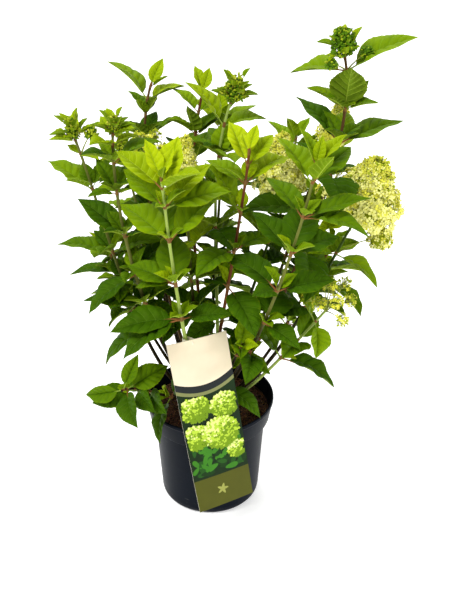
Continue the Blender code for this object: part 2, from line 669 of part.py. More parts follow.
def pot_profile():
    """The pot's outer and inner profile, from the middle of the underside to the middle of the floor."""
    inner_foot = BODY_FOOT_RADIUS - POT_WALL
    inner_body = BODY_TOP_RADIUS - POT_WALL
    inner_collar = COLLAR_RADIUS - POT_WALL
    step = COLLAR_BOTTOM + POT_WALL
    outside = [(0, 0), (BASE_RADIUS, 0), (0.0690, 0.0022), (BODY_FOOT_RADIUS - 0.0012, 0.0070),
               (BODY_FOOT_RADIUS, 0.0120), (BODY_TOP_RADIUS, COLLAR_BOTTOM),
               (COLLAR_RADIUS, COLLAR_BOTTOM + 0.0006), (RIM_RADIUS - 0.0010, POT_HEIGHT - 0.0060),
               (RIM_RADIUS, POT_HEIGHT - 0.0050), (RIM_RADIUS - 0.0002, POT_HEIGHT)]
    inside = [(RIM_RADIUS - 0.0026, POT_HEIGHT), (inner_collar, step), (inner_body, step),
              (inner_foot, POT_FLOOR + 0.005), (inner_foot - 0.004, POT_FLOOR), (0, POT_FLOOR)]
    return outside + inside


def soil_profile():
    """The soil's plug, the clearance inside the pot's inner wall, its top a little lower at the wall."""
    profile = pot_profile()
    c = CLEARANCE + 0.00005
    step = COLLAR_BOTTOM + POT_WALL
    wall_out = profile[11][0]
    slope = (profile[10][0] - profile[11][0]) / (POT_HEIGHT - step)
    top_radius = wall_out + slope * (SOIL_TOP - step) - c * 1.3
    return [(0, POT_FLOOR + c), (profile[14][0] - c, POT_FLOOR + c),
            (profile[13][0] - c * 1.2, POT_FLOOR + 0.0055), (profile[12][0] - c * 1.2, step + c),
            (wall_out - c * 1.2, step + c), (top_radius, SOIL_TOP - 0.0014),
            (0.074, SOIL_TOP), (0.040, SOIL_TOP), (0, SOIL_TOP)]


def stump_profile():
    """The stump: a flared foot on the soil under a dome that the stems leave square."""
    foot = SOIL_TOP + CLEARANCE
    profile = [(0, foot), (STUMP_FLARE, foot), (STUMP_FLARE - 0.0012, foot + 0.0018),
               (STUMP_RADIUS - 0.0003, foot + 0.0048)]
    for degrees in (10, 28, 46, 64, 80):
        a = math.radians(degrees)
        profile.append((STUMP_RADIUS * math.cos(a), STUMP_CENTRE + STUMP_RADIUS * math.sin(a)))
    return profile + [(0, STUMP_CENTRE + STUMP_RADIUS)]


def label_place(across, down):
    """A point on the label's middle sheet: across and down run from -0.5 to 0.5 and 0 to 1."""
    top = np.array(LABEL_TOP)
    bottom = np.array(LABEL_BOTTOM)
    axis = unit(top - bottom)
    centre = top + (bottom - top) * down
    side = flat_direction(LABEL_TURN_TOP + (LABEL_TURN_BOTTOM - LABEL_TURN_TOP) * down)
    side = unit(side - axis * (side @ axis))
    normal = np.cross(side, axis)
    bow = 0.0022 * (1 - (2 * across) ** 2) * (1 - down * 0.6)
    return centre + side * across * LABEL_WIDTH + normal * bow, normal


def label_solid():
    """The label's sheet: a grid of places moved half its thickness to either side, with its rim closed."""
    columns = 4
    rows = 5
    front = []
    back = []
    for r in range(rows):
        for c in range(columns):
            point, normal = label_place(c / (columns - 1) - 0.5, r / (rows - 1))
            front.append(point + normal * LABEL_THICKNESS / 2)
            back.append(point - normal * LABEL_THICKNESS / 2)
    points = front + back
    n = rows * columns
    faces = []
    for r in range(rows - 1):
        for c in range(columns - 1):
            a = r * columns + c
            faces.append((a, a + 1, a + 1 + columns, a + columns))
            faces.append((n + a + columns, n + a + 1 + columns, n + a + 1, n + a))
    edge = [c for c in range(columns)]
    edge += [r * columns + columns - 1 for r in range(1, rows)]
    edge += [(rows - 1) * columns + c for c in range(columns - 2, -1, -1)]
    edge += [r * columns for r in range(rows - 2, 0, -1)]
    for a, b in zip(edge, edge[1:] + edge[:1]):
        faces.append((b, a, n + a, n + b))
    return points, faces


def strap_solid(stem):
    """The label's own strap: a band that leaves the sheet near its upper edge, goes round the stem and ends
    free in front of the sheet."""
    start, normal = label_place(0.0, 0.022)
    runs = np.linspace(0, stem.length, 400)
    heights = np.array([stem.at(run)[0][2] for run in runs])
    run = runs[np.argmin(abs(heights - start[2]))]
    centre = stem.at(run)[0]
    centre = np.array([centre[0], centre[1], start[2]])
    towards = unit(centre - start)
    back = np.array([towards[1], -towards[0], 0.0])
    if back[1] < 0:
        back = -back
    reach = stem.radius(run) + STRAP_THICKNESS / 2 + 0.0012
    path = [start, start + towards * 0.004 + back * 0.0022, centre - towards * 0.006 + back * reach]
    for degrees in (90, 45, 0, -45, -90):
        a = math.radians(degrees)
        path.append(centre + reach * (math.cos(a) * towards + math.sin(a) * back))
    path += [centre - towards * 0.006 - back * (reach + 0.0006), start + towards * 0.004 - back * 0.0042]
    rings = []
    for i, point in enumerate(path):
        ahead = unit(path[min(i + 1, len(path) - 1)] - path[max(i - 1, 0)])
        across = unit(np.cross(ahead, np.array([0, 0, 1.0]))) * STRAP_THICKNESS / 2
        high = np.array([0, 0, STRAP_WIDTH / 2])
        rings.append([point + v for v in (-across - high, across - high, across + high, high - across)])
    return skin(rings)


def space_before_label():
    """The space in front of the label, kept clear of leaves so that the label shows."""
    points = []
    for down in (-0.10, 1.0):
        for across in (-0.5, 0.5):
            point, normal = label_place(across, down)
            points += [point + normal * 0.004, point + normal * 0.150]
    faces = [(0, 1, 3, 2), (4, 6, 7, 5), (0, 4, 5, 1), (2, 3, 7, 6), (0, 2, 6, 4), (1, 5, 7, 3)]
    return points, faces


def build():
    for obj in list(bpy.data.objects):
        bpy.data.objects.remove(obj, do_unlink=True)
    rng = random.Random(SEED + 1)
    room = Room()

    pot_points, pot_faces = lathe(pot_profile(), POT_SEGMENTS)
    pot = new_object("pot", pot_points, pot_faces)
    room.add((pot_points, pot_faces), "pot")
    cutters = helpers("notches")
    for k in range(NOTCH_COUNT):
        a = math.radians(360 / NOTCH_COUNT * k + 5)
        out = np.array([math.cos(a), math.sin(a), 0])
        side = np.array([-math.sin(a), math.cos(a), 0])
        reach = BODY_FOOT_RADIUS
        points = []
        inner = reach - NOTCH_DEPTH
        outer = reach + 0.01
        for r, z in ((inner, -0.002), (outer, -0.002), (outer, NOTCH_HEIGHT), (inner, NOTCH_HEIGHT)):
            for w in (-NOTCH_WIDTH / 2, NOTCH_WIDTH / 2):
                points.append(out * r + side * w + np.array([0, 0, z]))
        faces = [(0, 2, 4, 6), (7, 5, 3, 1), (0, 1, 3, 2), (2, 3, 5, 4), (4, 5, 7, 6), (6, 7, 1, 0)]
        cutter = new_object(f"notch_{k}", points, faces, cutters)
        cutter.hide_render = True
        cutter.display_type = "WIRE"
    joined(pot, cutters, "DIFFERENCE")
    rounded_off(pot)
    pot.data.materials.clear()
    pot.data.materials.append(material("pot_plastic", (0.028, 0.031, 0.034), 0.45))

    def soil_lift(row, i):
        return SOIL_LUMPS * rng.uniform(-1, 0.6) if row == 5 else 0.0

    points, faces = lathe(soil_profile(), POT_SEGMENTS, soil_lift)
    soil = new_object("soil", points, faces)
    room.add((points, faces), "soil")
    rounded_off(soil)
    soil.data.materials.append(material("soil_peat", (0.060, 0.034, 0.022), 0.95))

    points, faces = lathe(stump_profile(), STUMP_SEGMENTS)
    stump = new_object("stump", points, faces)
    room.add((points, faces), "stump")
    rounded_off(stump)
    stump.data.materials.append(material("stump_bark", (0.22, 0.15, 0.10), 0.85))

    wanted = [np.array(row[1]) - np.array([0, 0, STUMP_CENTRE]) for row in STEMS]
    feet = spread_feet(wanted)
    stems = [Stem(row, foot) for row, foot in zip(STEMS, feet)]

    bases = {}
    for stem in stems:
        limb = tube(stem, np.linspace(0.0, stem.mass_from - CLEARANCE / 2, 5), 5)
        room.add(limb, stem.name)
        obj = new_object(f"limb_{stem.name}", *limb)
        obj.data.shade_smooth()
        obj.data.set_sharp_from_angle(angle=math.radians(80))
        obj.data.materials.append(material(f"bark_{stem.name}", (0.30, 0.19, 0.12), 0.75))
        twig = tube(stem, stem.rings, 5, True)
        room.add(twig, stem.name)
        bases[stem.name] = [twig]

    label_points, label_faces = label_solid()
    room.add((label_points, label_faces), "label")
    strap_points, strap_faces = strap_solid(next(stem for stem in stems if stem.name == STRAP_STEM))
    room.add((strap_points, strap_faces), "label")
    room.add(space_before_label(), "label")
    label = new_object("label", label_points, label_faces)
    strap = helpers("strap")
    new_object("strap_band", strap_points, strap_faces, strap)
    joined(label, strap, "UNION")
    label.data.materials.clear()
    label.data.materials.append(material("label_card", (0.62, 0.60, 0.45), 0.5))

    for stem in stems:
        for points, faces in make_head(stem, rng):
            room.add((points, faces), stem.name)
            bases[stem.name].append((points, faces))

    leaves, skipped = grow(stems, room)
    for leaf in leaves:
        bases[leaf.stem.name].append(leaf.solid())
    print(len(leaves), "leaves,", skipped, "left out")

    for stem in stems:
        solids = bases[stem.name]
        base = new_object(f"mass_{stem.name}", *solids[0])
        group = helpers(f"parts_{stem.name}")
        for i, (points, faces) in enumerate(solids[1:]):
            new_object(f"{stem.name}_{i}", points, faces, group)
        if len(solids) > 1:
            joined(base, group, "UNION")
        base.data.materials.clear()
        base.data.materials.append(material(f"foliage_{stem.name}", (0.16, 0.33, 0.07), 0.55))


build()
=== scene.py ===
"""The potted panicle hydrangea in full dress. Every stem, leaf and head grows again by the rule of the
solids, and is carried on to bark with relief, toothed and veined leaves, single florets, a smooth pot and
peat fibre. Lengths are in metres and angles in degrees, where nothing else is said."""
import json
import math
import random

import bmesh
import bpy
import mathutils
import numpy as np
from mathutils.bvhtree import BVHTree
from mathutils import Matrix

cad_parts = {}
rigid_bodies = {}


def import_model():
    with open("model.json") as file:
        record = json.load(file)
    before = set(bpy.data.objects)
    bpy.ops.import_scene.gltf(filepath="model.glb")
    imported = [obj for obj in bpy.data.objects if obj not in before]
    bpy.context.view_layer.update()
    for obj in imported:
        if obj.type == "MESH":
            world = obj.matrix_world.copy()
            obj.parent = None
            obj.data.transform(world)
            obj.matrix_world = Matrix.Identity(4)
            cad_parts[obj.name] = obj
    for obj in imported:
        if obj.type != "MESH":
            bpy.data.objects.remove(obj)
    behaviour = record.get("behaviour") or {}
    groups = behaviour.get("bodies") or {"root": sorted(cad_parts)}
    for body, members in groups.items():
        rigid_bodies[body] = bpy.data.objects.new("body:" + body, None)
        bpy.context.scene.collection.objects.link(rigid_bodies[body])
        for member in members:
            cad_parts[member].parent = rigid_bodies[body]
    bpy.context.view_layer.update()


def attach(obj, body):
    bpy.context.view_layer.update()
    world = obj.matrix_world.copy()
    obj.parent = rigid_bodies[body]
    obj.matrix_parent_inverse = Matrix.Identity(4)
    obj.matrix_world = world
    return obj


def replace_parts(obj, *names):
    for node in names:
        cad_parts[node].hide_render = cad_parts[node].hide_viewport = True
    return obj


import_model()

# The pot
POT_HEIGHT = 0.172
RIM_RADIUS = 0.095
COLLAR_BOTTOM = 0.1376
COLLAR_RADIUS = 0.0888
BODY_TOP_RADIUS = 0.0824
BODY_FOOT_RADIUS = 0.0737
BASE_RADIUS = 0.0620
POT_WALL = 0.0022
POT_FLOOR = 0.0070
POT_SEGMENTS = 32
NOTCH_COUNT = 8
NOTCH_WIDTH = 0.014
NOTCH_HEIGHT = 0.006
NOTCH_DEPTH = 0.0045

# The soil and the stump
CLEARANCE = 0.0003
SOIL_TOP = 0.1500
STUMP_RADIUS = 0.0200
STUMP_FLARE = 0.0250
STUMP_CENTRE = 0.1560
STUMP_SEGMENTS = 20

# The label
LABEL_WIDTH = 0.0850
LABEL_LENGTH = 0.2700
LABEL_THICKNESS = 0.0009
LABEL_TOP = (-0.0166, -0.0828, 0.3244)
LABEL_BOTTOM = (0.0249, -0.1128, 0.0592)
LABEL_TURN_TOP = 14.0
LABEL_TURN_BOTTOM = 24.0
LABEL_BOW = 0.0022
STRAP_WIDTH = 0.0050
STRAP_THICKNESS = 0.0008
STRAP_STEM = "front_left"

# The leaves: shares of the leaf's length, and degrees, from the tip of a stem downwards
LEAF_WIDTH = 0.53
TUFT_NARROW = 0.80
PETIOLE = 0.13
PETIOLE_THICK = 0.0017
ROOT_OUT = 0.45
TUFT_GAPS = (0.12, 0.28, 0.50, 0.80, 1.0)
TUFT_SIZES = (0.48, 0.78, 0.96, 1.0)
TUFT_RISE = (62.0, 44.0, 32.0, 24.0, 16.0, 8.0)
TUFT_DROOP = (14.0, 26.0, 34.0, 42.0, 50.0, 56.0)
BUD_GAPS = (0.05, 0.57, 1.0, 0.86, 0.90, 1.0)
BUD_SIZES = (0.40, 0.94, 1.0, 1.0)
BUD_RISE = (44.0, 26.0, 26.0, 22.0, 16.0, 8.0)
BUD_DROOP = (10.0, 24.0, 32.0, 38.0, 46.0, 54.0)
HEAD_GAPS = (0.62, 1.0, 0.86, 0.90, 1.0)
HEAD_SIZES = (0.92, 1.0, 1.0, 1.0)
HEAD_RISE = (34.0, 30.0, 24.0, 16.0, 8.0)
HEAD_DROOP = (20.0, 30.0, 38.0, 46.0, 54.0)
TIP_RADIUS = 0.0017
LEAF_SPACE = 0.0004
SMALL_HEAD = 0.010
LOWEST_LEAF = 0.02
GOLDEN_TURN = 137.508
GOLDEN_ANGLE = 2.39996
SEED = 41

# What is tried in turn when a leaf is in the way: a swing, a steeper rise and a smaller size
ATTEMPTS = ((0, 0, 1), (11, 4, 1), (-11, -4, 1), (22, 9, 1), (-22, -9, 1), (8, 12, 0.8), (-8, -14, 0.8),
            (18, 18, 0.72), (-18, -20, 0.72))

# One row a stem: name, a place it passes, its tip, radius at the foot, leaves in a whorl, turn of the
# top whorl in degrees (0 is to the right, 270 to the front), gap between whorls or the gaps from the tip
# down, leaf length, height where the leaves begin, kind of head, radius of the head, length of the head
STEMS = (
    ("right_tall", (0.150, 0.019, 0.460), (0.176, 0.020, 0.690), 0.0044,
     2, 90, (0.004, 0.019, 0.057, 0.046, 0.050, 0.056), 0.104, 0.37, "bud", 0.017, 0.036),
    ("back_left_tall", (-0.082, 0.080, 0.420), (-0.079, 0.120, 0.615), 0.0031,
     2, 20, (0.006, 0.018, 0.021, 0.035, 0.050, 0.060), 0.072, 0.36, "tuft", 0, 0),
    ("back_middle_tall", (-0.023, 0.088, 0.470), (-0.007, 0.100, 0.612), 0.0031,
     2, 75, (0.004, 0.030, 0.034, 0.041, 0.055), 0.074, 0.38, "tuft", 0, 0),
    ("middle_bud", (0.010, 0.052, 0.480), (0.0315, 0.060, 0.612), 0.0030,
     2, 280, (0.003, 0.035, 0.046, 0.052), 0.076, 0.36, "bud", 0.015, 0.034),
    ("front_left", (-0.0445, -0.1000, 0.440), (-0.056, -0.116, 0.583), 0.0036,
     3, 30, (0.005, 0.015, 0.028, 0.050, 0.071, 0.060), 0.098, 0.33, "tuft", 0, 0),
    ("far_left", (-0.130, -0.008, 0.410), (-0.175, 0.000, 0.583), 0.0031,
     2, 266, (0.003, 0.021, 0.052, 0.096, 0.048), 0.070, 0.32, "bud", 0.011, 0.026),
    ("left_arch", (-0.116, -0.045, 0.500), (-0.120, -0.045, 0.610), 0.0038,
     2, 95, (0.003, 0.014, 0.027, 0.042, 0.065, 0.060, 0.050), 0.088, 0.29, "bud", 0.009, 0.020),
    ("middle_red", (0.027, -0.045, 0.385), (0.0535, -0.060, 0.594), 0.0030,
     2, 40, (0.005, 0.019, 0.026, 0.044, 0.060), 0.084, 0.30, "tuft", 0, 0),
    ("front_right", (0.091, -0.104, 0.410), (0.135, -0.120, 0.603), 0.0032,
     3, 10, (0.005, 0.023, 0.048, 0.058, 0.065), 0.096, 0.26, "tuft", 0, 0),
    ("right_head", (0.160, 0.008, 0.366), (0.206, 0.004, 0.471), 0.0035,
     2, 315, (0.014, 0.058, 0.048, 0.045), 0.088, 0.32, "panicle", 0.056, 0.092),
    ("middle_head", (0.068, 0.068, 0.330), (0.100, 0.070, 0.470), 0.0032,
     2, 60, 0.052, 0.084, 0.32, "panicle", 0.035, 0.108),
    ("left_head", (-0.024, 0.012, 0.345), (-0.030, 0.030, 0.492), 0.0030,
     2, 150, 0.054, 0.080, 0.31, "panicle", 0.021, 0.085),
    ("back_right_head", (0.115, 0.085, 0.370), (0.172, 0.105, 0.538), 0.0031,
     2, 45, 0.056, 0.080, 0.34, "panicle", 0.023, 0.065),
    ("low_right_sprays", (0.098, -0.045, 0.262), (0.160, -0.072, 0.362), 0.0028,
     2, 340, 0.046, 0.088, 0.255, "spray", 0.030, 0.052),
    ("low_left", (-0.088, -0.060, 0.220), (-0.120, -0.102, 0.250), 0.0024,
     2, 200, 0.040, 0.068, 0.19, "tuft", 0, 0),
    ("left_bud", (-0.070, 0.055, 0.350), (-0.084, 0.056, 0.530), 0.0030,
     2, 200, 0.056, 0.074, 0.33, "spray", 0.026, 0.038),
    ("back_right", (0.092, 0.130, 0.350), (0.128, 0.188, 0.508), 0.0031,
     2, 50, 0.062, 0.086, 0.28, "tuft", 0, 0),
    ("back_middle", (0.010, 0.135, 0.350), (0.018, 0.195, 0.540), 0.0031,
     3, 90, 0.070, 0.084, 0.27, "tuft", 0, 0),
    ("back_left", (-0.085, 0.115, 0.330), (-0.125, 0.165, 0.490), 0.0031,
     2, 130, 0.062, 0.082, 0.26, "bud", 0.010, 0.024),
    ("low_right", (0.118, 0.045, 0.275), (0.180, 0.080, 0.385), 0.0028,
     2, 20, 0.052, 0.086, 0.265, "tuft", 0, 0),
    ("low_back_left", (-0.100, 0.050, 0.275), (-0.150, 0.075, 0.385), 0.0028,
     2, 170, 0.052, 0.080, 0.24, "tuft", 0, 0),
    ("front_low", (0.026, -0.050, 0.240), (0.046, -0.088, 0.316), 0.0026,
     2, 340, 0.044, 0.078, 0.20, "tuft", 0, 0),
)

# Leaves that show plainly in the photograph, stem by stem: whorl from the tip down, place in the whorl,
# azimuth, rise above the square to the stem, droop along the blade, share of the stem's leaf length, and
# for some how many times wider than the others
SHOWN_LEAVES = {
    "right_tall": (
        (0, 0, 165, 20, 12, 0.24), (0, 1, 25, 60, 12, 0.28), (1, 0, 150, 0, 18, 0.80),
        (1, 1, 5, 25, 14, 0.98), (2, 0, 262, 76, 12, 0.70, 1.30), (2, 1, 105, 10, 20, 0.70),
        (3, 0, 25, 25, 12, 0.95, 0.75), (3, 1, 145, 35, 20, 0.85)),
    "back_left_tall": (
        (0, 0, 75, 65, 6, 0.66), (0, 1, 10, 55, 14, 0.40), (1, 0, 160, 42, 30, 1.08),
        (1, 1, 25, 35, 20, 0.80), (2, 0, 240, 45, 8, 0.50), (2, 1, 315, 60, 8, 0.50),
        (3, 0, 10, 40, 14, 0.82)),
    "back_middle_tall": (
        (0, 0, 80, 50, 8, 0.52), (0, 1, 120, 35, 10, 0.60), (1, 0, 150, 35, 24, 0.70),
        (1, 1, 60, 25, 14, 0.60), (2, 0, 230, 70, 18, 0.75), (2, 1, 15, 45, 18, 0.55),
        (3, 0, 150, 38, 18, 0.80), (3, 1, 325, 75, 10, 0.62)),
    "middle_bud": (
        (0, 0, 185, 40, 12, 0.40), (0, 1, 10, 40, 12, 0.35), (1, 0, 160, 42, 20, 1.03),
        (1, 1, 20, 25, 30, 0.85), (2, 0, 65, 78, 14, 0.75)),
    "front_left": (
        (0, 0, 125, 55, 8, 0.55), (0, 1, 80, 55, 6, 0.45), (0, 2, 300, 65, 8, 0.28),
        (1, 0, 145, 35, 22, 0.80), (1, 1, 65, 42, 10, 0.75), (2, 0, 135, 35, 26, 0.80),
        (2, 1, 40, 30, 18, 0.85), (3, 0, 140, 30, 24, 0.90), (3, 1, 25, 40, 22, 0.97),
        (4, 0, 150, 18, 30, 0.80), (4, 1, 90, 25, 20, 0.90), (5, 0, 185, 12, 30, 1.00),
        (5, 1, 0, 10, 26, 0.72)),
    "far_left": (
        (0, 0, 55, 60, 8, 0.60), (0, 1, 180, 25, 12, 0.50), (1, 0, 320, 0, 20, 0.50),
        (1, 1, 140, 40, 10, 0.36), (2, 0, 155, 45, 20, 1.08), (2, 1, 320, 10, 20, 0.70),
        (3, 0, 180, 35, 20, 1.08)),
    "left_arch": (
        (0, 0, 125, 25, 8, 0.40), (0, 1, 340, 30, 8, 0.40), (1, 0, 235, 30, 26, 0.55),
        (1, 1, 15, 30, 24, 0.40), (2, 0, 115, 15, 26, 0.55), (2, 1, 20, 15, 24, 0.50),
        (3, 0, 215, 25, 26, 0.50), (3, 1, 325, 35, 24, 0.50), (4, 0, 140, 45, 26, 0.95),
        (4, 1, 335, 30, 24, 0.60), (5, 0, 205, -5, 34, 0.95), (5, 1, 55, 15, 24, 0.90),
        (6, 0, 185, 35, 24, 1.00), (6, 1, 70, -10, 24, 0.80)),
    "middle_red": (
        (0, 0, 75, 40, 6, 0.50), (0, 1, 110, 28, 8, 0.40), (1, 0, 120, 40, 16, 0.80),
        (1, 1, 50, 35, 16, 0.70), (2, 0, 145, 18, 20, 0.75), (3, 0, 175, 62, 24, 1.00)),
    "front_right": (
        (0, 0, 145, 55, 8, 0.55), (0, 1, 40, 50, 12, 0.60), (0, 2, 80, 80, 6, 0.40),
        (1, 0, 135, 35, 20, 0.80), (1, 1, 50, 35, 20, 0.85), (1, 2, 300, 65, 14, 0.60),
        (2, 0, 5, 36, 16, 0.92, 0.75), (2, 1, 135, 25, 24, 0.80), (3, 0, 35, 22, 26, 0.80),
        (3, 1, 135, 22, 26, 0.85), (4, 0, 225, 30, 26, 0.58), (4, 1, 15, 26, 20, 0.82),
        (5, 0, 320, 20, 30, 0.66)),
    "right_head": (
        (0, 0, 18, 20, 18, 0.56), (0, 1, 190, -30, 20, 0.62), (1, 0, 335, 5, 30, 0.85),
        (1, 1, 200, 0, 20, 0.50)),
    "low_right_sprays": (
        (0, 0, 305, -25, 30, 0.58, 1.35), (1, 0, 75, 30, 26, 0.70)),
    "low_left": (
        (0, 0, 65, -15, 12, 0.80), (0, 1, 205, 5, 24, 0.90), (1, 0, 265, 40, 30, 1.00),
        (1, 1, 40, -25, 20, 1.00), (2, 0, 295, 15, 20, 0.80)),
}

# Small heads on a twig of their own from the second whorl, stem by stem: the middle and the reach
SIDE_HEADS = {
    "right_head": ((0.235, -0.010, 0.440, 0.0150),),
    "right_tall": ((0.159, 0.012, 0.680, 0.0055), (0.205, 0.018, 0.693, 0.0065)),
    "far_left": ((-0.153, 0.000, 0.590, 0.0065),),
}

# What the dress adds to the named sizes
LEAF_PIECES = ("leaves_one", "leaves_two", "leaves_three", "leaves_four")
POT_STEPS = 128
SOIL_STEPS = 96
FIBRES = 1500
CRUMBS = 900
LEAF_SHINE = 0.14
VEIN_SHINE = 0.06
POT_SHINE = 0.03
PRINT_SHINE = 0.12
# Steps from a leaf's score, made of its age and its painted shade, to the kind of its finish.
LEAF_AGE_AND_SHADE_STEPS = ((0.6, "young"), (1.9, "fresh"), (3.2, "mid"), (4.6, "deep"))
BLADE_TONES = (("leaf_young", "9ab008", "b4c610", 0.52, 0.18), ("leaf_fresh", "7e9804", "98ae08", 0.52, 0.18),
               ("leaf_mid", "628204", "7c9808", 0.54, 0.14), ("leaf_deep", "466804", "5e7e06", 0.56, 0.12),
               ("leaf_dark", "2c4e04", "426606", 0.58, 0.10), ("vein_young", "a8be28", "bacc3a", 0.5, 0.15),
               ("vein_mid", "6c9018", "80a228", 0.6, 0.12), ("vein_deep", "446814", "56781e", 0.6, 0.10),
               ("under_young", "728e08", "869f10", 0.6, 0.18), ("under_mid", "64820c", "789414", 0.62, 0.14),
               ("under_deep", "587210", "6c861c", 0.64, 0.12), ("under_vein", "88a02c", "9cb03c", 0.6, 0.10))
STALK_TONES = (("stalk_red", "7c4a2a", "98683c"), ("stalk_green", "7e9634", "95aa48"))
PETAL_TONES = (
    ((0.6, 300.0, 1.5, 1500.0, 0.1, (1, 1, 1), 0.15),
     (("petal_green", "a4aa1c", "bcbe2c"), ("petal_lime", "d2d22c", "e2e040"),
      ("petal_yellow", "eae844", "f4f060"), ("petal_cream", "f6f47c", "fcfaa6"))),
    ((0.5, 400.0, 1.5, 1500.0, 0.1),
     (("bead_green", "90a41c", "a8b42c"), ("bead_lime", "c8c83c", "dad858"),
      ("bead_dark", "48700c", "5e8416"))),
    ((0.55, 300.0, 1.5, 1500.0, 0.1), (("fine_twig", "8f9c3a", "a9b256"),)),
    ((0.7, 300.0, 2.0, 900.0, 0.5),
     (("head_inside", "8a9a14", "a4b024"), ("bud_inside", "30500a", "486a12"))))
# The print's finishes; its blossom balls, in millimetres across and down the card and the radius, and how far
# back each lies; the number of its lance leaves, of which those inside the picture are kept
PRINT_TONES = (("print_cream", "e3d3b4", "f2e4c8"), ("print_dark", "1a1e1f", "282d2c"),
               ("print_olive_line", "747848", "868a58"), ("print_shade", "0c1a08", "16300e"),
               ("print_olive", "47490f", "545616"), ("print_leaf_deep", "1a4410", "265816"),
               ("print_leaf", "2c6a16", "42841f"), ("print_leaf_dark", "102c0a", "183c0e"),
               ("print_lime", "62820f", "7c9e1a"), ("print_pale_lime", "a2c02c", "bcd844"),
               ("print_white", "d6e674", "eaf49a"), ("print_mark", "8f9244", "a0a352"))
PRINT_BALLS = ((-20, 106, 22, 2), (22, 110, 21, 1), (-27, 150, 21, 1), (10, 152, 27, 0), (30, 186, 15, 1))
PRINT_LEAVES = 240
BEAD_LIME = 5
FINE_TWIG = 7
HEAD_INSIDE = 8
BUD_INSIDE = 9
CLUSTER_REACH = 0.0056
SPRAY_FLOWERS = 38
SPRAY_REACH = 0.0105
PANICLE_FILL = 48000
BUD_FILL = 78000
PANICLE_BANDS = ((0.50, 4, 1, 0.0056), (0.80, 4, 3, 0.0046), (1.1, 2, 7, 0.0034))
BUD_BANDS = ((1.1, 0, 8, 0.0026),)
NEAR_SHOOTS = ((28, 58, 0.034), (-30, 50, 0.030), (0, 70, 0.024))
FAR_SHOOTS = ((80, 35, 0.058), (-50, 45, 0.045), (30, 55, 0.034))
# Shoots on the stems behind take the darker leaf finishes, a painted shade at the back of the plant.
SHOOT_KINDS = {"bract": ("fresh", "mid"), "near": ("fresh", "mid", "mid"), "far": ("mid", "deep", "dark")}
BRACTS = ((0.80, 200, 60, 0.020), (0.45, 110, 40, 0.022), (0.40, 290, 36, 0.020), (0.15, 0, 24, 0.024),
          (0.12, 180, 20, 0.024), (0.0, 75, 0, 0.018), (0.6, 315, 55, 0.018), (0.62, 250, 62, 0.016),
          (0.30, 20, 45, 0.020), (0.35, 215, 30, 0.018), (0.85, 30, 70, 0.016), (0.05, 250, 30, 0.020),
          (0.70, 140, 60, 0.016))
TOP_BRACTS = ((0.30, 175, 25, 0.024), (0.30, 15, 58, 0.025), (0.02, 275, 62, 0.019), (0.0, 205, -15, 0.014),
              (0.45, 120, 50, 0.014), (0.50, 300, 60, 0.010), (0.15, 330, 40, 0.016), (0.55, 200, 55, 0.011),
              (0.10, 80, 30, 0.015), (0.60, 40, 60, 0.009))
RED_STALKS = {"front_left": 0.6, "middle_red": 0.9, "front_right": 0.8, "back_middle_tall": 0.8,
              "left_arch": 0.5}
BARK_TONES = (("brown", "20140e", "5e4228", 0.20), ("olive", "24180f", "6c7034", 0.36),
              ("green", "4c4626", "98ac54", 0.20), ("red", "241410", "6a3a24", 0.26),
              ("dark_green", "20180e", "465c20", 0.32))
OLDER = {"right_tall": 0.9, "back_left_tall": 0.5, "back_middle_tall": 0.7, "low_left": 1.9, "far_left": 0.4,
         "left_arch": 0.4, "right_head": 0.4, "front_right": 0.9}
BARKS = {"right_tall": "brown", "back_left_tall": "brown", "back_middle_tall": "red", "middle_bud": "green",
         "front_left": "green", "far_left": "olive", "left_arch": "olive", "middle_red": "red",
         "front_right": "olive", "right_head": "dark_green", "middle_head": "dark_green",
         "low_right_sprays": "green"}
# How pale each stem's florets are; middle_head's tone above one paints its florets lighter, a painted light
# on a head that the leaves shade.
HEAD_TONES = {"right_head": 0.96, "middle_head": 1.15, "left_head": 0.95, "back_right_head": 0.90,
              "right_tall": 0.05, "left_arch": 0.45, "left_bud": 0.42, "low_right_sprays": 0.50,
              "middle_bud": 0.42, "far_left": 0.45, "back_left": 0.4}

# The studio: lights with their place, size, power and the point they face, and the camera
WHITE = (1.0, 1.0, 1.0, 1.0)
FLOOR_GLOW = 0.40
SURROUND_LIGHT = 0.45
LIGHTS = (("key", (-1.9, -1.9, 3.8), 2.0, 165.0, (0.0, 0.0, 0.35)),
          ("side", (2.3, -1.0, 1.2), 1.0, 26.0, (0.0, 0.0, 0.25)),
          ("behind", (0.3, 2.4, 3.0), 2.4, 70.0, (0.3, 2.2, 0.0)))
SENSOR_HEIGHT = 36.0
FOCAL_LENGTH = 72.0
CAMERA_PLACE = (0.0227, -1.4634, 1.2097)
CAMERA_DOWN = 30.86

# The growth rule of the solids
def unit(v):
    """The vector at length one."""
    v = np.asarray(v, float)
    return v / max(np.linalg.norm(v), 1e-12)


def turned(v, axis, angle):
    """The vector turned about a unit axis by the angle, by Rodrigues' rule."""
    kept = axis * (axis @ v)
    return kept + (v - kept) * math.cos(angle) + np.cross(axis, v) * math.sin(angle)


def flat_direction(degrees):
    """The level unit direction at this azimuth."""
    a = math.radians(degrees)
    return np.array([math.cos(a), math.sin(a), 0.0])


def pick(values, place):
    """The value at this place in the list, or the last one past its end."""
    return values[min(place, len(values) - 1)]


def spread_feet(wanted):
    """Directions from the stump's middle, pushed apart until the feet of the stems no longer crowd."""
    feet = np.array([unit(w) for w in wanted])
    for _ in range(400):
        apart = feet[:, None] - feet[None]
        far = np.linalg.norm(apart, axis=2)
        np.fill_diagonal(far, 9)
        push = np.clip(0.47 - far, 0, None)[..., None] * apart / np.maximum(far, 1e-6)[..., None]
        feet = feet + 0.25 * push.sum(axis=1)
        feet[:, 2] = np.clip(feet[:, 2], 0.16, None)
        feet /= np.linalg.norm(feet, axis=1)[:, None]
    return feet


def between(run, runs, points):
    """The place at this run, or at an array of them, on the straight lines through points at the runs."""
    return np.stack([np.interp(run, runs, points[:, i]) for i in range(3)], axis=-1)


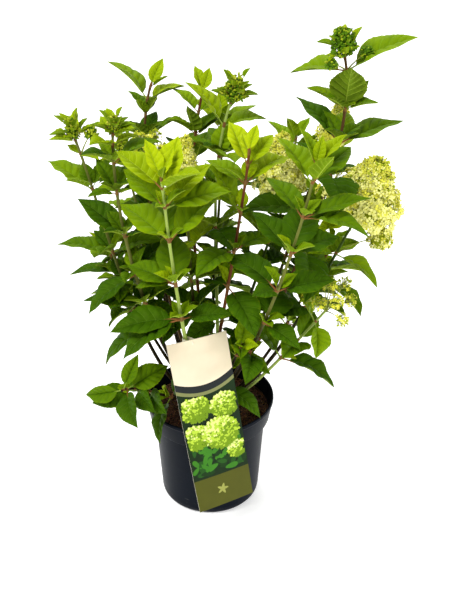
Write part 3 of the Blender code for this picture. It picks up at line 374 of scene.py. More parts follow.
class Stem:
    """A stem's curve and sizes: a cubic that leaves the stump square, passes one place, ends at the tip."""

    def __init__(self, row, foot):
        (self.name, via, tip, self.foot_radius, self.whorl, self.turn, self.gap, self.leaf,
         self.leaves_from, self.head, self.head_radius, self.head_length) = row
        centre = np.array([0.0, 0.0, STUMP_CENTRE])
        start = centre + foot * (STUMP_RADIUS + CLEARANCE)
        via = np.array(via)
        tip = np.array(tip)
        reach = np.linalg.norm(via - start)
        t = reach / (reach + np.linalg.norm(tip - via))
        first = start + foot * reach * 0.35
        rest = via - (1 - t) ** 3 * start - 3 * (1 - t) ** 2 * t * first - t ** 3 * tip
        second = rest / (3 * (1 - t) * t * t)
        s = np.linspace(0, 1, 241)[:, None]
        self.line = (1 - s) ** 3 * start + 3 * (1 - s) ** 2 * s * first + s ** 3 * tip
        self.line += 3 * (1 - s) * s * s * second
        steps = np.linalg.norm(np.diff(self.line, axis=0), axis=1)
        self.run = np.concatenate([[0], np.cumsum(steps)])
        self.length = self.run[-1]
        self.tip_radius = TIP_RADIUS
        rules = {"tuft": (TUFT_GAPS, TUFT_SIZES, TUFT_RISE, TUFT_DROOP),
                 "bud": (BUD_GAPS, BUD_SIZES, BUD_RISE, BUD_DROOP)}
        self.gaps, self.sizes, self.rises, self.droops = rules.get(
            self.head, (HEAD_GAPS, HEAD_SIZES, HEAD_RISE, HEAD_DROOP))
        self.joints = self.find_joints()
        self.mass_from = self.joints[-1] - 0.010
        self.rings = [self.mass_from + CLEARANCE / 2]
        for above, below in zip(self.joints[-2::-1], self.joints[:0:-1]):
            if above - below > 0.017:
                self.rings.append(below + 0.4 * (above - below))
        self.rings.append(self.length)
        self.ring_centres = np.array([self.at(run)[0] for run in self.rings])

    def at(self, run):
        """The point and the unit direction at this run along the stem."""
        behind, point, ahead = (between(run + step, self.run, self.line) for step in (-0.002, 0, 0.002))
        return point, unit(ahead - behind)

    def middle(self, run):
        """The middle of the straight-sided twig at this run, so that a leaf roots in the twig as built."""
        return between(run, self.rings, self.ring_centres)

    def radius(self, run):
        """The radius falls evenly from foot to tip, a little faster near the foot."""
        share = min(max(run / self.length, 0), 1)
        return self.foot_radius + (self.tip_radius - self.foot_radius) * share ** 0.75

    def find_joints(self):
        """Runs along the stem of its leaf joints, from the tip down to the height where leaves begin."""
        places = []
        run = self.length
        for step in range(30):
            if isinstance(self.gap, tuple):
                run -= pick(self.gap, step)
            else:
                run -= self.gap * pick(self.gaps, step)
            if run < 0.03 or (places and self.at(run)[0][2] < self.leaves_from):
                break
            places.append(run)
        return places


def tube(stem, runs, sides, point_end=False):
    """Rings square to the stem at these runs, with a cap or a point at the end."""
    side = None
    rings = []
    for run in runs:
        centre, along = stem.at(run)
        if side is None:
            side = np.cross(along, np.array([0.31, 0.95, 0.05]))
        side = unit(side - along * (side @ along))
        other = np.cross(along, side)
        radius = stem.radius(run)
        angles = [2 * math.pi * i / sides for i in range(sides)]
        rings.append([centre + radius * (math.cos(a) * side + math.sin(a) * other) for a in angles])
    return skin(rings, point_end and stem.at(runs[-1])[0] + stem.at(runs[-1])[1] * 0.003)


def skin(rings, end_point=False):
    """Points and faces of a closed skin over rings of equal count, both ends capped."""
    count = len(rings[0])
    points = [p for ring in rings for p in ring]
    faces = []
    for r in range(len(rings) - 1):
        for i in range(count):
            a = r * count + i
            b = r * count + (i + 1) % count
            faces.append((a, b, b + count, a + count))
    faces.append(tuple(reversed(range(count))))
    last = (len(rings) - 1) * count
    if end_point is False:
        faces.append(tuple(last + i for i in range(count)))
    else:
        points.append(end_point)
        for i in range(count):
            faces.append((last + i, last + (i + 1) % count, len(points) - 1))
    return points, faces


class Leaf:
    """A leaf as it sits on its stem: where it roots, which way it leaves, how it arches, folds and rolls."""

    def __init__(self, stem, step, centre, along, azimuth, rise, droop, roll, fold, length, width):
        self.stem = stem
        self.step = step
        self.length = length
        self.width = width
        self.fold = math.radians(fold)
        self.droop = math.radians(droop)
        level = flat_direction(azimuth)
        out = unit(level - along * (level @ along))
        rise = math.radians(rise)
        self.root = centre + out * stem.radius(stem.joints[step]) * ROOT_OUT
        self.ahead = unit(out * math.cos(rise) + along * math.sin(rise))
        side = unit(np.cross(along, out))
        self.side = turned(side, self.ahead, math.radians(roll))
        self.up = np.cross(self.ahead, self.side)
        self.petiole = length * PETIOLE

    def spine(self, share):
        """The middle line at a share of the blade, with the blade's direction and upward normal there: an
        arc of even curvature that turns by the droop over the blade's length."""
        blade = self.length - self.petiole
        angle = self.droop * share
        radius = blade / max(self.droop, 1e-4)
        start = self.root + self.ahead * self.petiole
        point = start + radius * (math.sin(angle) * self.ahead - (1 - math.cos(angle)) * self.up)
        ahead = math.cos(angle) * self.ahead - math.sin(angle) * self.up
        return point, ahead, np.cross(ahead, self.side)

    def ring(self, point, up, half, thick):
        """Left edge, upper middle, right edge and lower middle of a folded section."""
        lift = up * half * math.tan(self.fold)
        return [point - self.side * half + lift, point + up * thick / 2,
                point + self.side * half + lift, point - up * thick / 2]

    def solid(self, space=0.0, cut=False):
        """Points and faces of the leaf, swollen by the space given, or also cut short of its stem."""
        thick = max(0.0011, self.length / 85) + 2 * space
        root = self.root + self.ahead * (self.petiole * 0.75 if cut else 0.0)
        rings = [self.ring(root, self.up, PETIOLE_THICK / 2 + space, PETIOLE_THICK * 0.8 + 2 * space)]
        shares = ((0.28, 0.95), (0.62, 0.76)) if self.length > 0.064 else ((0.40, 0.98),)
        for share, wide in shares:
            point, ahead, up = self.spine(share)
            rings.append(self.ring(point, up, self.width / 2 * wide + space, thick))
        point, ahead, up = self.spine(1.0)
        points = [p for ring in rings for p in ring] + [point + ahead * space]
        faces = [(0, 1, 2), (0, 2, 3)]
        for r in range(len(rings) - 1):
            a = 4 * r
            b = a + 4
            for p, q in ((0, 1), (0, 3), (2, 1), (2, 3)):
                outward = (a + p, b + q, a + q), (a + p, b + p, b + q)
                if (p, q) in ((0, 3), (2, 1)):
                    outward = tuple(tuple(reversed(face)) for face in outward)
                faces += outward
        last = 4 * (len(rings) - 1)
        tip = len(points) - 1
        faces += [(last + i, tip, last + (i + 1) % 4) for i in range(4)]
        return points, [tuple(reversed(face)) for face in faces[:2]] + faces[2:]


class Room:
    """What is already in place, so that a new leaf can be tested against all of it but its own stem."""

    def __init__(self):
        self.low = []
        self.high = []
        self.kept = []

    def add(self, whole, owner, cut=None):
        """Keeps a solid, and for a leaf also its shape cut short of the stem, which its own stem's leaves
        meet."""
        points = np.array(whole[0])
        self.low.append(points.min(axis=0))
        self.high.append(points.max(axis=0))
        self.kept.append((tree_of(whole), owner, cut and tree_of(cut)))

    def take(self, leaf):
        """Keeps a leaf and the space round it, if it is clear of all else, and says whether it was."""
        whole = leaf.solid(LEAF_SPACE)
        cut = leaf.solid(LEAF_SPACE, True)
        if min(p[2] for p in whole[0]) < LOWEST_LEAF or not self.free(whole, cut, leaf.stem.name):
            return False
        self.add(whole, leaf.stem.name, cut)
        return True

    def free(self, whole, cut, owner):
        """Whether this leaf crosses nothing of another owner, and no leaf of its own stem past its stalk."""
        points = np.array(whole[0])
        low = np.array(self.low)
        high = np.array(self.high)
        near = np.all((low < points.max(axis=0)) & (high > points.min(axis=0)), axis=1)
        whole_tree = tree_of(whole)
        cut_tree = tree_of(cut)
        for i in np.flatnonzero(near):
            other, its_owner, its_cut = self.kept[i]
            if its_owner != owner and whole_tree.overlap(other):
                return False
            if its_owner == owner and its_cut and cut_tree.overlap(its_cut):
                return False
        return True


def tree_of(solid):
    """A search tree of a solid's faces."""
    return BVHTree.FromPolygons([tuple(p) for p in solid[0]], [tuple(f) for f in solid[1]])


def lump(centre, out, wide, thick, turn, deep=None):
    """An eight-sided lump: a flat double pyramid on the direction out, its four corners wide apart, its inner
    point as deep as given."""
    side = unit(np.cross(out, flat_direction(turn) + np.array([0, 0, 0.37])))
    other = np.cross(out, side)
    points = [centre - out * (deep or thick), centre + out * thick,
              centre + side * wide, centre + other * wide, centre - side * wide, centre - other * wide]
    faces = []
    for i in range(4):
        a = 2 + i
        b = 2 + (i + 1) % 4
        faces += [(0, b, a), (1, a, b)]
    return points, faces


def head_outline(share, widest=0.16, taper=0.78):
    """Radius of a head at a share of its length, as a share of its widest: round below the widest place, and
    above it a cone that narrows by the taper."""
    above = np.maximum(share - widest, 0)
    return np.minimum(1.0, np.sqrt(np.maximum(share, 0) / widest)) * (1 - taper * above / (1 - widest))


def bud_outline(share):
    """The outline of a head in bud, an egg."""
    return head_outline(share, 0.25, 0.60)


def golden(place, side, other):
    """The direction at this place when each turns on from the last by the golden angle."""
    a = math.radians(place * GOLDEN_TURN)
    return math.cos(a) * side + math.sin(a) * other


def head_frame(stem):
    """A stem's tip, the direction of its head, which stands more upright, and two directions square to it."""
    tip, along = stem.at(stem.length)
    along = unit(along + np.array([0, 0, 0.55]))
    side = unit(np.cross(along, np.array([0.2, 0.9, 0.1])))
    return tip, along, side, np.cross(along, side)


def spray_ends(stem):
    """The middles of a stem's nine open sprays, from the lowest and widest to the top."""
    tip, along, side, other = head_frame(stem)
    for i in range(9):
        share = i / 8
        centre = tip + along * stem.head_length * (0.15 + 0.8 * share)
        yield centre + golden(i, side, other) * stem.head_radius * (1.05 - 0.6 * share)


def fine_twig(root, end, thick, thin):
    """A three-sided twig between two points."""
    direction = unit(end - root)
    across = unit(np.cross(direction, np.array([0.31, 0.05, 0.9])))
    over = np.cross(direction, across)
    rings = []
    for point, radius in ((root, thick), (end, thin)):
        rings.append([point + radius * (math.cos(b) * across + math.sin(b) * over)
                      for b in (0, 2 * math.pi / 3, 4 * math.pi / 3)])
    return skin(rings)


def side_head(stem, place):
    """A small head on a thin twig from the second whorl: one lump, or eight more round it when large."""
    root = stem.middle(stem.joints[1])
    centre = np.array(place[:3])
    reach = place[3]
    shapes = [fine_twig(root, centre, 0.0012, 0.0009)]
    shapes.append(lump(centre, unit(centre - root), reach * 0.9, reach, 20))
    if reach > SMALL_HEAD:
        for i in range(8):
            out = unit(flat_direction(i * GOLDEN_TURN) + np.array([0, 0, 0.9 - 0.22 * i]))
            shapes.append(lump(centre + out * reach, out, 0.0088, 0.0035, 45 * i, reach - 0.0025))
    return shapes


def make_head(stem, rng):
    """The solids of a stem's head: core and lumps of a panicle, lumps of a bud, or lumps on fine twigs."""
    tip, along, side, other = head_frame(stem)
    shapes = []
    if stem.head == "panicle":
        start = tip - along * 0.004
        rings = []
        sides = 6
        for share in (0.0, 0.14, 0.40, 0.68, 0.92):
            radius = max(stem.head_radius * 0.70 * head_outline(share), 0.004)
            centre = start + along * stem.head_length * 0.9 * share
            rings.append([])
            for i in range(sides):
                a = 2 * math.pi * (i + 0.5 * share) / sides
                out = math.cos(a) * side + math.sin(a) * other
                rings[-1].append(centre + radius * rng.uniform(0.84, 1.12) * out)
        shapes.append(skin(rings, start + along * stem.head_length * 0.93))
        count = max(9, int(stem.head_length * stem.head_radius * 3800))
        for i in range(count):
            share = 0.04 + 0.90 * ((i + 0.5) / count) ** 1.15
            wide = 0.0098 * (0.72 + 0.5 * stem.head_radius / 0.04)
            radius = max(stem.head_radius * head_outline(share) - 0.0035, 0.002) * rng.uniform(0.90, 1.06)
            flat = golden(i, side, other)
            out = unit(flat + along * (0.15 + 0.9 * share))
            centre = start + along * stem.head_length * share * 0.94 + flat * radius
            shapes.append(lump(centre, out, wide, 0.0035, rng.uniform(0, 360), radius * 0.55 + 0.004))
    elif stem.head == "bud":
        start = tip + along * 0.002
        shapes.append(lump(start + along * stem.head_length * 0.35, along, stem.head_radius * 0.62,
                           stem.head_length * 0.46, 30))
        for i in range(7):
            share = 0.20 + 0.62 * i / 6
            flat = golden(i, side, other)
            radius = stem.head_radius * (0.72 - 0.45 * share)
            centre = start + along * stem.head_length * share + flat * radius * rng.uniform(0.92, 1.08)
            deep = radius + 0.002 * rng.uniform(0.8, 1.2)
            shapes.append(lump(centre, unit(flat + along * 0.4), 0.0046, 0.0048, 40 * i, deep))
    elif stem.head == "spray":
        for i, end in enumerate(spray_ends(stem)):
            root = tip - along * 0.002
            shapes.append(fine_twig(root, end, 0.0010, 0.0007))
            shapes.append(lump(end, unit(unit(end - root) + along * 0.4), 0.0078, 0.0042, 50 * i))
    for place in SIDE_HEADS.get(stem.name, ()):
        shapes += side_head(stem, place)
    return shapes


def grow(stems, room):
    """Leaves for every stem, top whorls first, each tried at a few turns and sizes, left out if none fits."""
    rng = random.Random(SEED)
    shown = {(name, *row[:2]): row[2:] for name, rows in SHOWN_LEAVES.items() for row in rows}
    leaves = []
    for step in range(max(len(stem.joints) for stem in stems)):
        for stem in stems:
            if step >= len(stem.joints):
                continue
            root = stem.middle(stem.joints[step])
            along = stem.at(stem.joints[step])[1]
            apart = 360.0 / stem.whorl
            for member in range(stem.whorl):
                azimuth = stem.turn + step * apart / 2 + member * apart
                rise = pick(stem.rises, step)
                droop = pick(stem.droops, step)
                size = pick(stem.sizes, step)
                jitter = [rng.uniform(-1, 1) for _ in range(6)]
                wide = TUFT_NARROW if step == 0 and stem.head == "tuft" else 1.0
                if (stem.name, step, member) in shown:
                    azimuth, rise, droop, size, *given = shown[stem.name, step, member]
                    wide = given[0] if given else wide
                    jitter = [0.2 * j for j in jitter]
                for swing, steeper, smaller in ATTEMPTS:
                    length = stem.leaf * size * (1 + 0.09 * jitter[2]) * smaller
                    fold = 30 - 4 * min(step, 4) + 5 * jitter[5]
                    leaf = Leaf(stem, step, root, along, azimuth + 9 * jitter[0] + swing,
                                rise + 7 * jitter[1] + steeper, droop + 8 * jitter[3],
                                14 * jitter[4], fold, length, length * LEAF_WIDTH * wide)
                    if room.take(leaf):
                        leaves.append(leaf)
                        break
    return leaves


def pot_profile():
    """The pot's outer and inner profile, from the middle of the underside to the middle of the floor."""
    inner_foot = BODY_FOOT_RADIUS - POT_WALL
    inner_body = BODY_TOP_RADIUS - POT_WALL
    inner_collar = COLLAR_RADIUS - POT_WALL
    step = COLLAR_BOTTOM + POT_WALL
    outside = [(0, 0), (BASE_RADIUS, 0), (0.0690, 0.0022), (BODY_FOOT_RADIUS - 0.0012, 0.0070),
               (BODY_FOOT_RADIUS, 0.0120), (BODY_TOP_RADIUS, COLLAR_BOTTOM),
               (COLLAR_RADIUS, COLLAR_BOTTOM + 0.0006), (RIM_RADIUS - 0.0010, POT_HEIGHT - 0.0060),
               (RIM_RADIUS, POT_HEIGHT - 0.0050), (RIM_RADIUS - 0.0002, POT_HEIGHT)]
    inside = [(RIM_RADIUS - 0.0026, POT_HEIGHT), (inner_collar, step), (inner_body, step),
              (inner_foot, POT_FLOOR + 0.005), (inner_foot - 0.004, POT_FLOOR), (0, POT_FLOOR)]
    return outside + inside


def soil_profile():
    """The soil's plug, the clearance inside the pot's inner wall, its top a little lower at the wall."""
    profile = pot_profile()
    c = CLEARANCE + 0.00005
    step = COLLAR_BOTTOM + POT_WALL
    wall_out = profile[11][0]
    slope = (profile[10][0] - profile[11][0]) / (POT_HEIGHT - step)
    top_radius = wall_out + slope * (SOIL_TOP - step) - c * 1.3
    return [(0, POT_FLOOR + c), (profile[14][0] - c, POT_FLOOR + c),
            (profile[13][0] - c * 1.2, POT_FLOOR + 0.0055), (profile[12][0] - c * 1.2, step + c),
            (wall_out - c * 1.2, step + c), (top_radius, SOIL_TOP - 0.0014),
            (0.074, SOIL_TOP), (0.040, SOIL_TOP), (0, SOIL_TOP)]


def stump_profile():
    """The stump: a flared foot on the soil under a dome that the stems leave square."""
    foot = SOIL_TOP + CLEARANCE
    profile = [(0, foot), (STUMP_FLARE, foot), (STUMP_FLARE - 0.0012, foot + 0.0018),
               (STUMP_RADIUS - 0.0003, foot + 0.0048)]
    for degrees in (10, 28, 46, 64, 80):
        a = math.radians(degrees)
        profile.append((STUMP_RADIUS * math.cos(a), STUMP_CENTRE + STUMP_RADIUS * math.sin(a)))
    return profile + [(0, STUMP_CENTRE + STUMP_RADIUS)]


def label_place(across, down):
    """Points on the label's middle sheet and the normals there, for numbers or arrays: across from -0.5 to
    0.5 of its width, down from 0 to 1 of its length. The sheet turns on the way down and bows forwards."""
    top = np.array(LABEL_TOP)
    bottom = np.array(LABEL_BOTTOM)
    axis = unit(top - bottom)
    across, down = (v[..., None] for v in np.broadcast_arrays(across, down))
    turn = np.radians(LABEL_TURN_TOP + (LABEL_TURN_BOTTOM - LABEL_TURN_TOP) * down)
    side = np.concatenate([np.cos(turn), np.sin(turn), 0 * turn], axis=-1)
    side = units(side - axis * (side @ axis)[..., None])
    normal = np.cross(side, axis)
    bow = LABEL_BOW * (1 - (2 * across) ** 2) * (1 - down * 0.6)
    return top + (bottom - top) * down + side * across * LABEL_WIDTH + normal * bow, normal


def label_grid(rows, columns):
    """The label as a closed sheet: a front and a back grid half its thickness apart from the middle sheet,
    joined round the rim."""
    down, across = np.meshgrid(np.linspace(0, 1, rows), np.linspace(-0.5, 0.5, columns), indexing="ij")
    point, normal = label_place(across, down)
    points = np.stack([point + normal * LABEL_THICKNESS / 2, point - normal * LABEL_THICKNESS / 2])
    sheet = grid_faces(rows, columns)
    n = rows * columns
    edge = np.concatenate([np.arange(columns), np.arange(1, rows) * columns + columns - 1,
                           (rows - 1) * columns + np.arange(columns - 2, -1, -1),
                           np.arange(rows - 2, 0, -1) * columns])
    after = np.roll(edge, -1)
    rim = np.stack([edge, after, after + n, edge + n], axis=1)
    return points.reshape(-1, 3), np.concatenate([sheet[:, ::-1], sheet + n, rim])


def strap_path(stem):
    """The middle line of the label's strap: it leaves the sheet near its upper edge, goes round the stem and
    ends free in front of the sheet."""
    start = label_place(0.0, 0.022)[0]
    runs = np.linspace(0, stem.length, 400)
    heights = np.array([stem.at(run)[0][2] for run in runs])
    run = runs[np.argmin(abs(heights - start[2]))]
    centre = stem.at(run)[0]
    centre = np.array([centre[0], centre[1], start[2]])
    towards = unit(centre - start)
    back = np.array([towards[1], -towards[0], 0.0])
    if back[1] < 0:
        back = -back
    reach = stem.radius(run) + STRAP_THICKNESS / 2 + 0.0012
    path = [start, start + towards * 0.004 + back * 0.0022, centre - towards * 0.006 + back * reach]
    for degrees in (90, 45, 0, -45, -90):
        a = math.radians(degrees)
        path.append(centre + reach * (math.cos(a) * towards + math.sin(a) * back))
    path += [centre - towards * 0.006 - back * (reach + 0.0006), start + towards * 0.004 - back * 0.0042]
    return np.array(path)


def strap_corners(path):
    """Four corners of the strap, square to its path, at every point of the path."""
    out = units(np.cross(np.gradient(path, axis=0), np.array([0, 0, 1.0]))) * STRAP_THICKNESS / 2
    high = np.array([0, 0, STRAP_WIDTH / 2])
    return np.stack([path - out - high, path + out - high, path + out + high, path - out + high], axis=1)


def space_before_label():
    """The space in front of the label, kept clear of leaves so that the label shows."""
    points = []
    for down in (-0.10, 1.0):
        for across in (-0.5, 0.5):
            point, normal = label_place(across, down)
            points += [point + normal * 0.004, point + normal * 0.150]
    faces = [(0, 1, 3, 2), (4, 6, 7, 5), (0, 4, 5, 1), (2, 3, 7, 6), (0, 2, 6, 4), (1, 5, 7, 3)]
    return points, faces

# How the dressed pieces are made
def mesh_piece(name, parts, materials, smooth=True):
    """One joined piece from (points, faces, material numbers) parts, whose faces are rows of three or four
    point numbers; a part without points of its own joins those of the part before it."""
    points, loops, sizes, kinds = [], [], [], []
    start = 0
    for some, faces, kind in parts:
        some = np.asarray(some, np.float32).reshape(-1, 3)
        faces = np.asarray(faces, np.int64)
        if len(some):
            base = start
        points.append(some)
        loops.append((faces + base).ravel())
        sizes.append(np.full(len(faces), faces.shape[1]))
        kinds.append(np.broadcast_to(np.asarray(kind), (len(faces),)))
        start += len(some)
    points, loops, sizes, kinds = (np.concatenate(v) for v in (points, loops, sizes, kinds))
    mesh = bpy.data.meshes.new(name)
    mesh.vertices.add(len(points))
    mesh.vertices.foreach_set("co", points.ravel())
    mesh.loops.add(len(loops))
    mesh.loops.foreach_set("vertex_index", loops.astype(np.int32))
    mesh.polygons.add(len(sizes))
    mesh.polygons.foreach_set("loop_start", (np.cumsum(sizes) - sizes).astype(np.int32))
    mesh.polygons.foreach_set("material_index", kinds.astype(np.int32))
    mesh.update(calc_edges=True)
    mesh.validate()
    mesh.shade_smooth() if smooth else mesh.shade_flat()
    for made in materials:
        mesh.materials.append(made)
    return placed(bpy.data.objects.new(name, mesh))


def placed(obj):
    """Links an object to the scene."""
    bpy.context.scene.collection.objects.link(obj)
    return obj


def grid_faces(rows, columns, closed=False):
    """Quads over a grid of points numbered row by row; closed joins the last column to the first."""
    r, c = np.meshgrid(np.arange(rows - 1), np.arange(columns if closed else columns - 1), indexing="ij")
    a = r * columns + c
    b = r * columns + (c + 1) % columns
    return np.stack([a, b, b + columns, a + columns], axis=-1).reshape(-1, 4)


def each(faces, count, step):
    """The same faces once for every copy, their point numbers moved on by step from copy to copy."""
    return (faces[None] + np.arange(count)[:, None, None] * step).reshape(-1, faces.shape[1])


def units(v):
    """The rows of an array at length one."""
    return v / np.linalg.norm(v, axis=-1, keepdims=True)


def normal_to(v):
    """Two unit directions square to each other and to every row of v."""
    v = units(v)
    helper = np.where(np.abs(v[..., 2:3]) < 0.9, np.array([0.0, 0.0, 1.0]), np.array([1.0, 0.0, 0.0]))
    side = units(np.cross(v, helper))
    return side, np.cross(v, side)


def round_angles(count):
    """This many even angles round a circle."""
    return np.linspace(0, 2 * np.pi, count, endpoint=False)


def spokes(a, side, other):
    """The directions at these angles in the plane of two unit directions."""
    return np.cos(a)[..., None] * side + np.sin(a)[..., None] * other


def tubes(paths, radii, sides):
    """Round tubes: paths is (tube, station, 3), radii (tube, station); each ring stands square to its path,
    and both ends are closed by a ring drawn in to a point."""
    paths = np.asarray(paths, float)
    ahead = units(np.gradient(paths, axis=1))
    side = normal_to(paths[:, -1:] - paths[:, :1])[0]
    side = units(side - ahead * (side * ahead).sum(axis=-1, keepdims=True))
    other = np.cross(ahead, side)
    a = round_angles(sides)
    rings = paths[:, :, None] + radii[:, :, None, None] * spokes(a, side[:, :, None], other[:, :, None])
    first = np.repeat(paths[:, :1, None], sides, axis=2)
    last = np.repeat(paths[:, -1:, None], sides, axis=2)
    rings = np.concatenate([first, rings, last], axis=1)
    count, stations = rings.shape[:2]
    return rings.reshape(-1, 3), each(grid_faces(stations, sides, True), count, stations * sides)


# Finishes
def colour(text):
    """Six digits of a screen colour as a linear colour."""
    parts = [int(text[i:i + 2], 16) / 255 for i in (0, 2, 4)]
    return [p / 12.92 if p <= 0.04045 else ((p + 0.055) / 1.055) ** 2.4 for p in parts] + [1.0]


def set_inputs(node, values):
    """Sets a node's own sockets, by name or number."""
    for key, value in dict(values).items():
        node.inputs[key].default_value = value


def add_node(tree, kind, links=(), values=(), operation=None, group=None):
    """A shader node of this kind; links and values go by the name or number of its own sockets."""
    made = tree.nodes.new("ShaderNode" + kind)
    if kind == "Mix":
        made.data_type = "RGBA"
    if operation:
        made.operation = operation
    if group:
        made.node_tree = group
    set_inputs(made, values)
    for key, source in dict(links).items():
        tree.links.new(source, made.inputs[key])
    return made


def shader_of(finish_made):
    """The surface shader of a finish."""
    return finish_made.node_tree.nodes["Principled BSDF"]


def socket_group(name, inputs, title, kind):
    """An empty shader group with these named inputs and one output."""
    group = bpy.data.node_groups.new(name, "ShaderNodeTree")
    for label, sort, value in inputs:
        group.interface.new_socket(name=label, in_out="INPUT", socket_type=sort).default_value = value
    group.interface.new_socket(name=title, in_out="OUTPUT", socket_type=kind)
    return group, group.nodes.new("NodeGroupInput"), group.nodes.new("NodeGroupOutput")


def mottle_group():
    """Soft blotches of two sizes on object coordinates: a mask from 0 to 1."""
    number = "NodeSocketFloat"
    sockets = [("Scale", number, 60.0), ("Contrast", number, 1.0)]
    group, start, end = socket_group("mottle", sockets, "Mask", number)
    place = add_node(group, "TexCoord").outputs["Object"]
    noise = add_node(group, "TexNoise", {"Vector": place, "Scale": start.outputs["Scale"]},
                     {"Detail": 3.0, "Roughness": 0.6})
    shift = add_node(group, "Math", {0: noise.outputs["Fac"]}, {1: 0.5}, "SUBTRACT")
    spread = add_node(group, "Math", {0: shift.outputs[0], 1: start.outputs["Contrast"]}, {2: 0.5},
                      "MULTIPLY_ADD")
    spread.use_clamp = True
    group.links.new(spread.outputs[0], end.inputs["Mask"])
    return group


def grain_group():
    """Fine raised grain on object coordinates, given as a normal."""
    group, start, end = socket_group(
        "grain", [("Scale", "NodeSocketFloat", 900.0), ("Strength", "NodeSocketFloat", 0.2),
                  ("Stretch", "NodeSocketVector", (1.0, 1.0, 1.0))], "Normal", "NodeSocketVector")
    place = add_node(group, "TexCoord").outputs["Object"]
    stretch = add_node(group, "VectorMath", {0: place, 1: start.outputs["Stretch"]}, (), "MULTIPLY")
    noise = add_node(group, "TexNoise", {"Vector": stretch.outputs[0], "Scale": start.outputs["Scale"]},
                     {"Detail": 2.5})
    bump = add_node(group, "Bump", {"Height": noise.outputs["Fac"], "Strength": start.outputs["Strength"]},
                    {"Distance": 0.0006})
    group.links.new(bump.outputs["Normal"], end.inputs["Normal"])
    return group


MOTTLE = mottle_group()
GRAIN = grain_group()


def finish(name, dark, light, rough, scale=60.0, contrast=1.6, grain=900.0, strength=0.2, stretch=(1, 1, 1),
           through=0.0):
    """A finish that wanders between two colours in soft blotches, with a fine raised grain; through is the
    share of light that passes into the surface."""
    made = bpy.data.materials.new(name)
    made.use_nodes = True
    tree = made.node_tree
    mask = add_node(tree, "Group", (), {"Scale": scale, "Contrast": contrast}, group=MOTTLE).outputs["Mask"]
    surface = {"Scale": grain, "Strength": strength, "Stretch": stretch}
    fine = add_node(tree, "Group", (), surface, group=GRAIN)
    mix = add_node(tree, "Mix", {0: mask}, {6: colour(dark), 7: colour(light)})
    shine = add_node(tree, "MapRange", {"Value": mask}, {"To Min": rough - 0.06, "To Max": rough + 0.08})
    shader = shader_of(made)
    for socket, source in (("Base Color", mix.outputs[2]), ("Roughness", shine.outputs["Result"]),
                           ("Normal", fine.outputs["Normal"])):
        tree.links.new(source, shader.inputs[socket])
    if through:
        set_inputs(shader, {"Subsurface Weight": through, "Subsurface Radius": (1.0, 1.0, 0.25),
                            "Subsurface Scale": 0.0015})
    made.diffuse_color = colour(light)
    return made


def waxy(made, shine):
    """Weakens a finish's gloss and tints it green and yellow."""
    set_inputs(shader_of(made), {"Specular IOR Level": shine, "Specular Tint": (0.9, 1.0, 0.2, 1.0)})


# Leaves with teeth and veins
LEAF_VEINS = 6
VEIN_HALF = 0.0040
TEETH = 0.022
LEAF_KINDS = {"young": (0, 5, 8, 11), "fresh": (1, 5, 8, 11), "mid": (2, 6, 9, 11), "deep": (3, 7, 10, 11),
              "dark": (4, 7, 10, 11)}


def leaf_lines():
    """Cross lines along a blade, from 0 to 1: two close ones for each side vein and two between veins. With
    each line goes its height between veins and its tooth; with each strip goes whether it is a vein."""
    veins = np.linspace(0.10, 0.80, LEAF_VEINS)
    after = np.append(veins[1:], 0.93)
    gap = after - veins
    lines = np.stack([veins - VEIN_HALF, veins + VEIN_HALF, veins + 0.34 * gap, veins + 0.67 * gap], axis=1)
    lines = np.concatenate([[0.0, 0.045], lines.ravel(), [0.965, 1.0]])
    lift = np.concatenate([[0.0, 0.5], np.tile([0.0, 0.0, 0.85, 1.0], LEAF_VEINS), [0.4, 0.0]])
    tooth = np.concatenate([[0.0, 0.0], np.tile([-1.0, 1.0, -0.7, 0.9], LEAF_VEINS), [0.0, 0.0]])
    vein = np.concatenate([[False, False], np.tile([True, False, False, False], LEAF_VEINS), [False]])
    return lines, lift, tooth, vein


def gathered(leaves, keys):
    """These values of every leaf, as arrays."""
    return (np.array([getattr(leaf, key) for leaf in leaves]) for key in keys)


